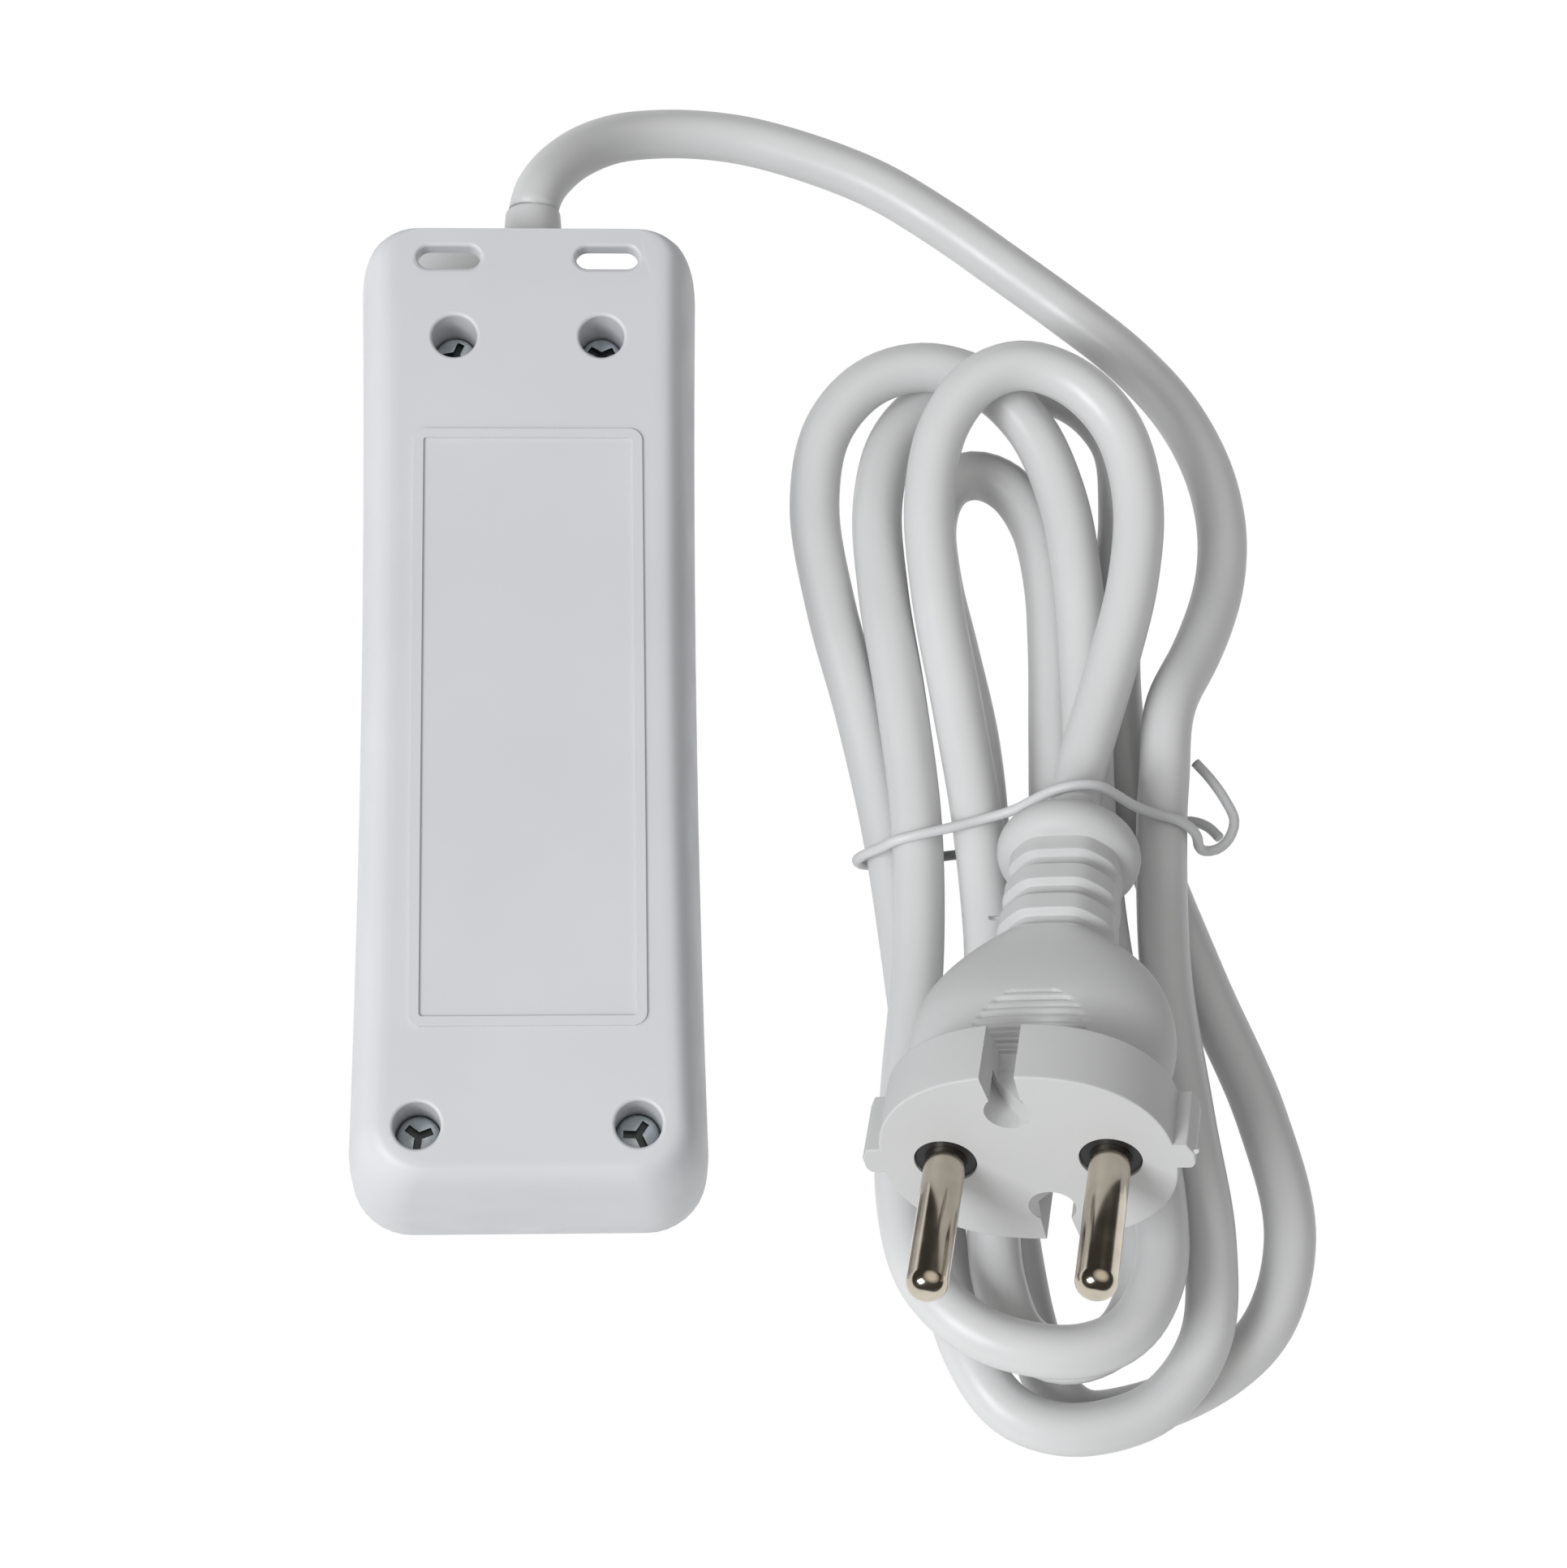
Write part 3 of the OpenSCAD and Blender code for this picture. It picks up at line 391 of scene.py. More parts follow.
CORD_SCREWS, END_SCREWS = (9.15, 46.76), (12.98, -53.37)
MOUTHS = [(s * x, y) for s in (-1, 1) for x, y in (CORD_SCREWS, END_SCREWS)]
MOUTH_R, MOUTH_LIP, SEAT_Z, TUBE_FOOT, TUBE_R = 2.8, 0.45, 17.8, 15.5, 4.5
SLOTS = [(s * 9.9, 57.6) for s in (-1, 1)]
SLOT_L, SLOT_W, SLOT_LIP = 7.86, 3.05, 0.6
FRAME_W, FRAME_Y0, FRAME_Y1, FRAME_RIDGE, FRAME_RISE = 28.14, -41.57, 34.22, 1.2, 0.25
CORD_D, CORD_X, CORD_Z = 6.4, 0.5, 14.0
SLEEVE_LENGTH, SLEEVE_R, SLEEVE_TAPER, SLEEVE_BORE_R = 14.0, 4.7, 1.15, 3.24
SLEEVE_FLANGE_R, SLEEVE_FLANGE_T = 6.0, 1.4
SLEEVE_TIP = Vector((CORD_X, END_WALL_Y + SLEEVE_LENGTH, CORD_Z))


def half_width(y):
    return BOX_WIDTH / 2 + SIDE_SWELL * ((y - WAIST_Y) / SWELL_LENGTH) ** 2


def lean(z):
    """How far the inner walls have leaned in at the height z: 0 at the face, 1 below the round edge."""
    return z / (BOX_HEIGHT - EDGE_R)


def rounding(z):
    """The same for the outer walls, which stand straight below and round over: 1 at the back."""
    return 1 - (1 - min(1, z / BOX_HEIGHT) ** 3) ** (1 / 3)


def level(z, side, plain, y1, r0, r1, steps=16):
    """The box's outline at the height z, moved in by side and, at the plain end, by plain."""
    a, b = -END_Y + plain + r0, y1 - r1
    right = [(half_width(a) - side - r0 + r0 * math.sin(t), a - r0 * math.cos(t)) for t in arc(9)]
    right += [(half_width(y) - side, y) for y in (a + (b - a) * k / steps for k in range(1, steps))]
    right += [(half_width(b) - side - r1 + r1 * math.cos(t), b + r1 * math.sin(t)) for t in arc(9)]
    return [Vector((x, y, z)) for x, y in right] + [Vector((-x, y, z)) for x, y in reversed(right)]


def wall_level(z, inset=0.0):
    turn = rounding(z)
    return level(z, (SIDE_DRAFT + EDGE_R) * turn + inset, (END_DRAFT + EDGE_R) * turn + inset, END_Y - inset,
                 END_CORNER_R - EDGE_R * 0.8 * turn, CORD_CORNER_R - EDGE_R * 0.2 * turn)


def inside(name, z0, z1):
    """The space within the walls."""
    return skin(name, [level(z, SIDE_DRAFT * lean(z) + WALL, END_DRAFT * lean(z) + WALL, INNER_END_Y,
                             END_CORNER_R - WALL, CORD_CORNER_R - WALL) for z in (z0, z1)])


def end_pocket(z1):
    """The pocket under the ledge, open to the end and to the surface."""
    w0 = half_width(END_Y) - WALL
    w1 = w0 - SIDE_DRAFT * lean(z1)
    section = [(-w0, -1), (w0, -1), (w1, z1), (-w1, z1)]
    return skin("pocket", [[Vector((x, y, z)) for x, z in section] for y in (END_WALL_Y, END_Y + 1)])


def exit_hole():
    hole = drum("exit", SLEEVE_R + 0.05, -1, WALL + 1)
    lie = Matrix.Translation((CORD_X, INNER_END_Y + WALL, CORD_Z)) @ Matrix.Rotation(math.radians(90), 4, "X")
    return moved(hole, lie)


def soft_rim(lip, z):
    """Offsets and heights of a rounded rim, from inside the hole up and out."""
    return [(lip * (1 - math.cos(t)), z - lip * (1 - math.sin(t))) for t in arc()] + [(lip, z + 1)]


def slot_outline(radius, z, centre):
    run, points = SLOT_L - SLOT_W, []
    for side in (1, -1):
        for k in range(17):
            a = math.pi * (k / 16 - 0.5) + (0 if side > 0 else math.pi)
            points.append(Vector((centre[0] + side * run / 2 + radius * math.cos(a),
                                  centre[1] + radius * math.sin(a), z)))
    return points


def tilt_ledge(obj):
    """The back falls away a little from a faint crease to the cord end."""
    work = bmesh.new()
    work.from_mesh(obj.data)
    bmesh.ops.bisect_plane(work, geom=work.verts[:] + work.edges[:] + work.faces[:],
                           plane_co=(0, LEDGE_Y * MM, 0), plane_no=(0, 1, 0))
    for v in work.verts:
        past = v.co.y - LEDGE_Y * MM
        if past > 1e-6 and v.co.z > (BOX_HEIGHT - EDGE_R) * MM:
            v.co.z -= past * LEDGE_FALL
    work.to_mesh(obj.data)
    work.free()
    return obj


def make_cover():
    heights = [BOX_HEIGHT * math.sin(t) ** (2 / 3) for t in arc(20)[2:]]
    cover = tilt_ledge(skin("cover_shell", [wall_level(z) for z in [SEAM_Z, *heights]]))
    space = inside("space", SEAM_Z - 1, BOX_HEIGHT - BACK_T)
    cut(cover, space, end_pocket(BOX_HEIGHT - LEDGE_T), exit_hole())
    for place in MOUTHS:
        join(cover, drum("tube", TUBE_R, TUBE_FOOT, BOX_HEIGHT - 1, place))
        mouth = [(1.95, TUBE_FOOT - 1), (1.95, SEAT_Z), (MOUTH_R, SEAT_Z)]
        mouth += [(MOUTH_R + out, z) for out, z in soft_rim(MOUTH_LIP, BOX_HEIGHT)]
        cut(cover, lathe("mouth", mouth, place))
    for place in SLOTS:
        rings = [slot_outline(SLOT_W / 2, BOX_HEIGHT - LEDGE_T - 1, place)]
        rings += [slot_outline(SLOT_W / 2 + out, z, place) for out, z in
                  soft_rim(SLOT_LIP, BOX_HEIGHT - (place[1] - LEDGE_Y) * LEDGE_FALL)]
        cut(cover, skin("slot", rings))
    return even_normals(round_edges(cover, 0.12))


def make_housing():
    low = [(0, FACE_EDGE), (FACE_EDGE * 0.3, FACE_EDGE * 0.3), (FACE_EDGE, 0), (SEAM_Z, 0)]
    housing = skin("socket_housing", [wall_level(z, inset) for z, inset in low])
    cut(housing, inside("space", FACE_T, SEAM_Z + 1))
    for y in OUTLET_YS:
        join(housing, drum("well_wall", WELL_R + WELL_WALL, 1, WELL_TOP, (0, y), 96))
        for x in PIN_XS:
            join(housing, drum("collar", COLLAR_R, WELL_DEPTH + 0.6, COLLAR_TOP, (x, y)))
        well = [(WELL_R + out, -z) for out, z in reversed(soft_rim(0.4, 0))] + [(WELL_R, WELL_DEPTH)]
        cut(housing, lathe("well", well, (0, y), 96))
        hole = [(PIN_HOLE_R + 0.5, WELL_DEPTH - 0.1), (PIN_HOLE_R + 0.5, WELL_DEPTH),
                (PIN_HOLE_R, WELL_DEPTH + 0.5), (PIN_HOLE_R, COLLAR_TOP + 1)]
        for x in PIN_XS:
            cut(housing, lathe("pin_hole", hole, (x, y)))
    cut(housing, end_pocket(BOX_HEIGHT / 2))
    return even_normals(round_edges(housing, 0.12))


def make_frame_ridge():
    """The raised frame on the back: a low ridge with soft edges that follows a rectangle."""
    tree, start, end = new_geometry_tree(
        "frame_ridge", Width=FRAME_W * MM, Length=(FRAME_Y1 - FRAME_Y0) * MM, Corner=1.0 * MM,
        Section="NodeSocketObject", Finish="NodeSocketMaterial")
    quad = tree.nodes.new("GeometryNodeCurvePrimitiveQuadrilateral")
    fillet = tree.nodes.new("GeometryNodeFilletCurve")
    sweep = tree.nodes.new("GeometryNodeCurveToMesh")
    section = tree.nodes.new("GeometryNodeObjectInfo")
    if "Mode" in fillet.inputs:
        fillet.inputs["Mode"].default_value = "Poly"
    else:
        fillet.mode = "POLY"
    fillet.inputs["Count"].default_value = 6
    link = tree.links.new
    link(start.outputs["Width"], quad.inputs["Width"])
    link(start.outputs["Length"], quad.inputs["Height"])
    link(quad.outputs["Curve"], fillet.inputs["Curve"])
    link(start.outputs["Corner"], fillet.inputs["Radius"])
    link(start.outputs["Section"], section.inputs["Object"])
    link(fillet.outputs["Curve"], sweep.inputs["Curve"])
    link(section.outputs["Geometry"], sweep.inputs["Profile Curve"])
    end_tree(tree, start, end, sweep.outputs["Mesh"])

    w, h, foot = FRAME_RIDGE / 2, FRAME_RISE, -0.3
    left = [(-w, foot), (-w, h * 0.3), (-w + 0.1, h * 0.8), (-w + 0.25, h)]
    points = left + [(-x, y) for x, y in reversed(left)]
    curve = bpy.data.curves.new("ridge_section", "CURVE")
    curve.dimensions = "3D"
    spline = curve.splines.new("POLY")
    spline.points.add(len(points) - 1)
    for point, (x, y) in zip(spline.points, points):
        point.co = (x * MM, y * MM, 0, 1)
    spline.use_cyclic_u = True
    profile = bpy.data.objects.new("ridge_section", curve)
    bpy.context.scene.collection.objects.link(profile)

    ridge = run_tree(link_mesh("cover_frame", [(0, 0, 0)], []), tree, Width=(FRAME_W - FRAME_RIDGE) * MM,
                     Length=(FRAME_Y1 - FRAME_Y0 - FRAME_RIDGE) * MM, Section=profile, Finish=SHELL)
    bpy.data.objects.remove(profile)
    moved(ridge, Matrix.Translation((0, (FRAME_Y0 + FRAME_Y1) / 2, BOX_HEIGHT)))
    return even_normals(outward(ridge), 60)


def make_screw():
    """One cover screw at the origin: a domed head with a three-winged recess, and its shank."""
    shank_r, shank_l, head_r, head_h, rim_h = 1.45, 9.5, 2.6, 2.0, 0.75
    wing_w, wing_l, wing_depth = 0.92, 1.75, 1.1
    profile = [(shank_r, -shank_l), (shank_r, 0), (head_r - 0.1, 0), (head_r, 0.15), (head_r, rim_h)]
    profile += [(head_r - rim_h * (1 - math.cos(t)), rim_h + (head_h - 1.0) * math.sin(t))
                for t in arc(5)[1:]]
    profile += [(head_r - 1.3, head_h - 0.12), (0.5, head_h)]
    screw = lathe("cover_screw", profile)
    wing_outline = [(-0.2, -wing_w / 2), (wing_l, -wing_w / 2), (wing_l, wing_w / 2), (-0.2, wing_w / 2)]
    for turn in (90, 210, 330):
        wing = prism("wing", wing_outline, head_h - wing_depth, head_h + 1)
        cut(screw, moved(wing, Matrix.Rotation(math.radians(turn), 4, "Z")))
    even_normals(round_edges(screw, 0.09))
    # marks the faces inside the recess, which get painted shade
    recess_shade_mask = screw.data.attributes.new("recess", "FLOAT", "FACE")
    for face, shade_mark in zip(screw.data.polygons, recess_shade_mask.data):
        x, y, z = face.center / MM
        shade_mark.value = float(0.8 < z < head_h - 0.2 and math.hypot(x, y) < wing_l + 0.05)
    return screw


def make_screws():
    """The four cover screws: one screw repeated in a row at each end, each stopped at its own turn."""
    rows = ("Cord end", "Plain end")
    lengths = {f"{row.replace(' ', '_')}_{what}": 0.0 for row in rows
               for what in ("place", "spacing", "first_turn", "next_turn")}
    tree, start, end = new_geometry_tree("cover_screw_set", Screw="NodeSocketObject",
                                         Finish="NodeSocketMaterial", Seat=0.0, **lengths)
    link = tree.links.new
    joined, screw = tree.nodes.new("GeometryNodeJoinGeometry"), tree.nodes.new("GeometryNodeObjectInfo")
    link(start.outputs["Screw"], screw.inputs["Object"])
    for row in rows:
        line, index = tree.nodes.new("GeometryNodeMeshLine"), tree.nodes.new("GeometryNodeInputIndex")
        line.inputs["Count"].default_value = 2
        first, step, turn = (tree.nodes.new("ShaderNodeCombineXYZ") for _ in range(3))
        place = tree.nodes.new("GeometryNodeInstanceOnPoints")
        spacing = start.outputs[row + " spacing"]
        link(math_node(tree, "MULTIPLY", spacing, -0.5), first.inputs["X"])
        link(start.outputs[row + " place"], first.inputs["Y"])
        link(start.outputs["Seat"], first.inputs["Z"])
        link(spacing, step.inputs["X"])
        link(math_node(tree, "MULTIPLY_ADD", index.outputs[0], start.outputs[row + " next turn"],
                       start.outputs[row + " first turn"]), turn.inputs["Z"])
        link(first.outputs[0], line.inputs["Start Location"])
        link(step.outputs[0], line.inputs["Offset"])
        link(line.outputs["Mesh"], place.inputs["Points"])
        link(screw.outputs["Geometry"], place.inputs["Instance"])
        link(turn.outputs[0], place.inputs["Rotation"])
        link(place.outputs["Instances"], joined.inputs["Geometry"])
    end_tree(tree, start, end, joined.outputs["Geometry"])
    one = make_screw()
    screws = run_tree(
        link_mesh("screw_set", [(0, 0, 0)], []), tree, Screw=one, Finish=ZINC, Seat=SEAT_Z * MM,
        Cord_end_place=CORD_SCREWS[1] * MM, Cord_end_spacing=2 * CORD_SCREWS[0] * MM,
        Cord_end_first_turn=math.radians(97), Cord_end_next_turn=math.radians(-40),
        Plain_end_place=END_SCREWS[1] * MM, Plain_end_spacing=2 * END_SCREWS[0] * MM,
        Plain_end_first_turn=math.radians(52), Plain_end_next_turn=math.radians(35))
    bpy.data.objects.remove(one)
    return screws


def make_sleeve():
    """The moulded sleeve: a cone with a soft end on the jacket, and its flange inside the wall."""
    start, tip, steps = INNER_END_Y - SLEEVE_FLANGE_T, SLEEVE_TIP.y, 10
    profile = [(SLEEVE_BORE_R + 0.06, start), (SLEEVE_FLANGE_R, start), (SLEEVE_FLANGE_R, INNER_END_Y - 0.05),
               (SLEEVE_R, INNER_END_Y - 0.04), (SLEEVE_R, END_WALL_Y)]
    cone_end = tip - 0.35
    profile += [(SLEEVE_R - SLEEVE_TAPER * (k / steps) ** 0.8,
                 END_WALL_Y + (cone_end - END_WALL_Y) * k / steps) for k in range(1, steps + 1)]
    profile += [(3.5, tip - 0.12), (3.4, tip), (SLEEVE_BORE_R, tip), (SLEEVE_BORE_R, start)]
    sleeve = skin("exit_sleeve", [circle_points(r, y, count=64) for r, y in profile], True)
    stand = Matrix.Translation((CORD_X, 0, CORD_Z)) @ Matrix.Rotation(math.radians(-90), 4, "X")
    return even_normals(moved(sleeve, stand), 50)


finish_piece(make_cover(), SHELL, "shell", "back_cover")
finish_piece(make_frame_ridge(), SHELL, "shell", "back_cover")
finish_piece(make_housing(), HOUSING, "shell", "front_housing")
finish_piece(make_screws(), ZINC, "zinc", "cover_screws")
sleeve = finish_piece(make_sleeve(), JACKET, "sleeve", "cord_sleeve")


# ---------------------------------------------------------------- the cord

WAIST_LINE = -12.0
HANK_STEPS = 12
# brings the highest value of a half turn's bulge to 1
BULGE = 2.598
# runs through the waist: x, z, lean
RIGHT_RUNS = [(78.7, 11.5, 0.1), (70, 10.4, 0), (77.4, 4.6, -0.25), (66.2, 4.6, 0)]
LEFT_RUNS = [(45, 4.6, -0.13), (48, 11.1, -0.05), (57.2, 4.6, 0), (55.6, 11.4, -0.1)]
LAST_RUN = (68.6, 17.2, 0.19)
# half turns: x, y and z of the far point, bulge of the side that comes and of the side that goes
NEAR_TURNS = [(64.5, -87.5, 10.2, 11.2, 4.5), (63.2, -80.2, 22.6, 8, 10), (67, -84.8, 3.2, 13.5, 1),
              (63.4, -79.6, 14.8, 9, 5)]
FAR_TURNS = [(50.6, 49.2, 10.6, 8, 4), (61, 50, 3.2, 6.6, 10.5), (57.5, 37.2, 3.2, 5.5, 3.2),
             (62.5, 46.4, 17.8, 5.4, 6.4)]

PLUG_PLACE = Vector((56.6, -61.7, 43.0))
PLUG_TURN, PLUG_RISE, PLUG_ROLL = -11.9, 25.5, 19.2
PLUG_LENGTH = 54.0
PLUG_MATRIX = (
    Matrix.Translation(PLUG_PLACE)
    @ Matrix.Rotation(math.radians(PLUG_TURN), 4, "Z")
    @ Matrix.Rotation(math.radians(90 - PLUG_RISE), 4, "X")
    @ Matrix.Rotation(math.radians(PLUG_ROLL), 4, "Z")
)
PIN_WAY = (PLUG_MATRIX.to_3x3() @ Vector((0, 0, 1))).normalized()
PLUG_BACK = PLUG_PLACE - PIN_WAY * PLUG_LENGTH


def half_turn(start, apex, end, side, steps):
    """Points of a half turn of the hank from one run to the next round its far point."""
    reach = apex[1] - WAIST_LINE
    points = []
    for i in range(steps):
        u = math.pi * i / HANK_STEPS
        c, w = math.cos(u), math.sin(u)
        run = start if c > -1e-9 else end
        b = (apex[3] if c > -1e-9 else -apex[4]) * side
        x = apex[0] + (run[0] - apex[0]) * abs(c) + b * BULGE * w * w * abs(c) + run[2] * reach * w * c * c
        points.append(Vector((x, WAIST_LINE + reach * w, run[1] + (apex[2] - run[1]) * w * w)))
    return points


RUN_WAY = Vector((RIGHT_RUNS[0][2], 1, 0)).normalized()
HANK_START = Vector((RIGHT_RUNS[0][0], WAIST_LINE, RIGHT_RUNS[0][1])) + RUN_WAY * CORD_D


def hank_route():
    points = [HANK_START]
    for i in range(4):
        following = RIGHT_RUNS[i + 1] if i < 3 else LAST_RUN
        points += half_turn(RIGHT_RUNS[i], NEAR_TURNS[i], LEFT_RUNS[i], 1, HANK_STEPS)
        points += half_turn(LEFT_RUNS[i], FAR_TURNS[i], following, -1, HANK_STEPS - (i == 3))
    return points + [PLUG_BACK - PIN_WAY * CORD_D, PLUG_BACK]


# the free stretch comes down to the surface, sweeps round and climbs into the hank
FREE_ROUTE = [
    SLEEVE_TIP, SLEEVE_TIP + Vector((0.2, 1.5, 0)),
    *map(Vector, [
        (1.9, 73.6, 13.2), (4.2, 77.4, 11.2), (7.4, 80.9, 8.7), (11.4, 83.6, 6.4), (16.4, 85.2, 4.5),
        (22, 85.7, 3.5), (28.5, 85, 3.2), (37, 82.5, 3.2), (46, 78.6, 3.2), (54.5, 73, 3.2),
        (63, 66.4, 3.2), (71, 60, 3.2), (78.5, 53.4, 3.2), (84.5, 46, 3.2), (88.2, 38, 3.2),
        (89.6, 30, 3.3), (88.9, 22.5, 4.2), (86.6, 15.4, 6.4), (83.6, 9, 8.9), (81.2, 4.6, 10.8)]),
    HANK_START + RUN_WAY * CORD_D, HANK_START,
]


def smooth_line(points, step):
    """A centripetal spline through the points, with a point about every step."""
    line = []
    for i in range(len(points) - 1):
        p1, p2 = points[i], points[i + 1]
        p0 = points[i - 1] if i else p1 * 2 - p2
        p3 = points[i + 2] if i + 2 < len(points) else p2 * 2 - p1
        t1 = math.sqrt((p1 - p0).length)
        t2 = t1 + math.sqrt((p2 - p1).length)
        t3 = t2 + math.sqrt((p3 - p2).length)
        count = max(1, round((p2 - p1).length / step))
        for k in range(count):
            t = t1 + (t2 - t1) * k / count
            a1 = p0.lerp(p1, t / t1)
            a2 = p1.lerp(p2, (t - t1) / (t2 - t1))
            a3 = p2.lerp(p3, (t - t2) / (t3 - t2))
            b1 = a1.lerp(a2, t / t2)
            b2 = a2.lerp(a3, (t - t1) / (t3 - t1))
            line.append(b1.lerp(b2, (t - t1) / (t2 - t1)))
    return line + [points[-1].copy()]


def tube(name, line, radius, sides):
    """A closed tube along a line, with rings that turn as little as they can.

    Its UV map runs along in metres, and round from 0 to 1.
    """
    ahead, behind = line[1:] + line[-1:], line[:1] + line[:-1]
    tangents = [(b - a).normalized() for a, b in zip(behind, ahead)]
    side = tangents[0].cross(Vector((0, 0, 1))).normalized()
    verts, along = [], [0.0]
    for i, (p, t) in enumerate(zip(line, tangents)):
        if i:
            side = tangents[i - 1].rotation_difference(t) @ side
            side = (side - t * side.dot(t)).normalized()
            along.append(along[-1] + (p - line[i - 1]).length)
        other = t.cross(side)
        verts += [p + (side * c + other * s) * radius for c, s in full_turn(sides)]
    obj = link_mesh(name, verts, ring_faces(len(line), sides))
    mesh = obj.data
    mesh.polygons[-1].use_smooth = mesh.polygons[-2].use_smooth = False
    uv = mesh.uv_layers.new(name="UVMap")
    for poly in mesh.polygons:
        ring_places = [mesh.loops[li].vertex_index % sides for li in poly.loop_indices]
        wraps = sides - 1 in ring_places
        for li, k in zip(poly.loop_indices, ring_places):
            turn = 1.0 if wraps and k == 0 else k / sides
            uv.data[li].uv = (along[mesh.loops[li].vertex_index // sides] * MM, turn)
    return obj


def without_kinks(line, passes=16):
    """Evens out the short kinks of a line without drawing its bends in."""
    for step in (0.5, -0.53) * passes:
        middle = [p + ((a + b) / 2 - p) * step for a, p, b in zip(line, line[1:], line[2:])]
        line = [line[0], *middle, line[-1]]
    return line


cord_line = without_kinks(smooth_line(FREE_ROUTE, 1.2)[:-1] + smooth_line(hank_route(), 1.2))
cord = finish_piece(tube("cord", cord_line, CORD_D / 2, 28), JACKET, "cord", "cord_free", "cord_hank")


# ---------------------------------------------------------------- the twist tie

TIE_D = 1.3
TIE_ROUTE = list(map(Vector, [
    (86.9, -12.6, 5.2), (85.6, -10.9, 4.4), (83.6, -9.8, 3.2), (81.4, -9.8, 1.9), (78.8, -10.4, 0.9),
    (74, -11, 0.7), (66, -12, 0.7), (57, -13, 0.7), (49, -14, 0.7), (44.6, -14.6, 0.8), (42, -15, 2),
    (41, -15.2, 4.6), (41.6, -15.4, 7.6), (43.6, -15.5, 11.4), (45, -15.4, 13.8), (47.6, -15, 15),
    (51.6, -14.2, 15.3), (55.6, -13.2, 15.5), (59.6, -12.4, 17), (62.4, -11.7, 20.2), (64.6, -11.3, 22.2),
    (67.2, -11, 22.9), (69.6, -11, 22.3), (71.6, -11.4, 20.4), (74.4, -12, 17.4), (77.4, -12.6, 15.7),
    (80, -13.2, 15.2), (81.9, -13.9, 13.9), (83, -14.4, 11.6), (83.6, -14.8, 9), (84.6, -14.9, 7.2),
    (86.2, -14.6, 6.9), (87.8, -13.2, 6.9), (88.6, -10.8, 6.9), (87.6, -8.1, 6.8), (85.9, -5.2, 6.5),
    (84.2, -2.9, 6)]))

tie = finish_piece(tube("tie", smooth_line(TIE_ROUTE, 0.8), TIE_D / 2, 12), TIE_COVER, "tie", "twist_tie")


# ---------------------------------------------------------------- the plug
# modelled with its face at z = 0 and its pins along +Z, then moved into place

FACE_HALF_W, FACE_HALF_H, FACE_POWER, RIM_DEPTH = 17.0, 14.5, 2.25, 8.0
GRIP_START, GRIP_R, GRIP_MIDDLE = 6.0, 15.5, 16.5
# half height of the grip by distance from the face
GRIP_HEIGHTS = [(6, 8.8), (8.6, 8.7), (10.5, 8.1), (13, 7.9), (16, 8.1), (19, 8.3), (22, 8), (25, 7.45),
                (27.5, 6.95), (29.5, 6.6), (31, 6.4), (33, 6.4)]
NECK_END = 44.6
NECK_HALF_W, NECK_HALF_H, NECK_CORNER = 7.2, 6.4, 7.05
GROOVES, GROOVE_HALF_W, GROOVE_DEPTH = (31.8, 36.6, 41.3), 1.2, 0.85
# radius of the flange and the collar behind it, by distance from the face
FLANGE = [(44.6, 6.7), (44.8, 7.3), (45.2, 7.9), (45.8, 8.4), (46.6, 8.7), (47.4, 8.75), (48.2, 8.6),
          (49, 8.2), (49.8, 7.3), (50.4, 6.1), (50.8, 4.8), (51.4, 4), (52.4, 3.7), (54, 3.6)]
PLUG_SIDES = 240
BASE_RING_R, RING_SINK, PIN_R, PIN_LENGTH, PIN_TIP, PIN_ROOT = 3.6, 0.3, 2.4, 19.0, 1.9, -7.3
CARRIER_HALF_W, CARRIER_HALF_H, CARRIER_BACK, CARRIER_FRONT = 13.0, 4.5, -7.4, -3.2
CARRIER_GAP, RING_GAP = 0.05, 0.02
# key notches: sideways place, turn about the plug's middle
NOTCHES = ((-0.85, 0), (-1.5, 180))
NOTCH_POCKET_R, NOTCH_POCKET_Y, NOTCH_SLOPE = 2.75, 8.5, 1.2


def between_rows(table, s):
    """Smooth value between the rows of a table of (distance, value)."""
    i = max(0, min(len(table) - 2, sum(row[0] <= s for row in table) - 1))
    rows = [table[max(i - 1, 0)], table[i], table[i + 1], table[min(i + 2, len(table) - 1)]]
    (s0, v0), (s1, v1), (s2, v2), (s3, v3) = rows
    t = min(1, max(0, (s - s1) / (s2 - s1)))
    m1, m2 = (v2 - v0) / (s2 - s0) * (s2 - s1), (v3 - v1) / (s3 - s1) * (s2 - s1)
    return ((2 * t ** 3 - 3 * t ** 2 + 1) * v1 + (t ** 3 - 2 * t ** 2 + t) * m1
            + (-2 * t ** 3 + 3 * t ** 2) * v2 + (t ** 3 - t ** 2) * m2)


def oval_reach(c, s, a, b, power):
    return ((abs(c) / a) ** power + (abs(s) / b) ** power) ** (-1 / power)


def neck_reach(c, s, a, b):
    """Octagonal neck: flat top and sides with wide slanted corners, its edges soft."""
    slant = (abs(c) + abs(s)) / (NECK_CORNER * math.sqrt(2))
    return ((abs(c) / a) ** 14 + (abs(s) / b) ** 14 + slant ** 14) ** (-1 / 14)


def soft_step(x, low, high):
    t = min(1, max(0, (x - low) / (high - low)))
    return t * t * (3 - 2 * t)


def groove_dip(s, height):
    """Depth of the neck's grooves, which end softly before the neck's sides."""
    dip = 0
    for g in GROOVES:
        off = abs(s - g) / GROOVE_HALF_W
        dip = max(dip, GROOVE_DEPTH * min(1, max(0, (1 - off) * 2.2)))
    return dip * soft_step(height, 0.8, 4)


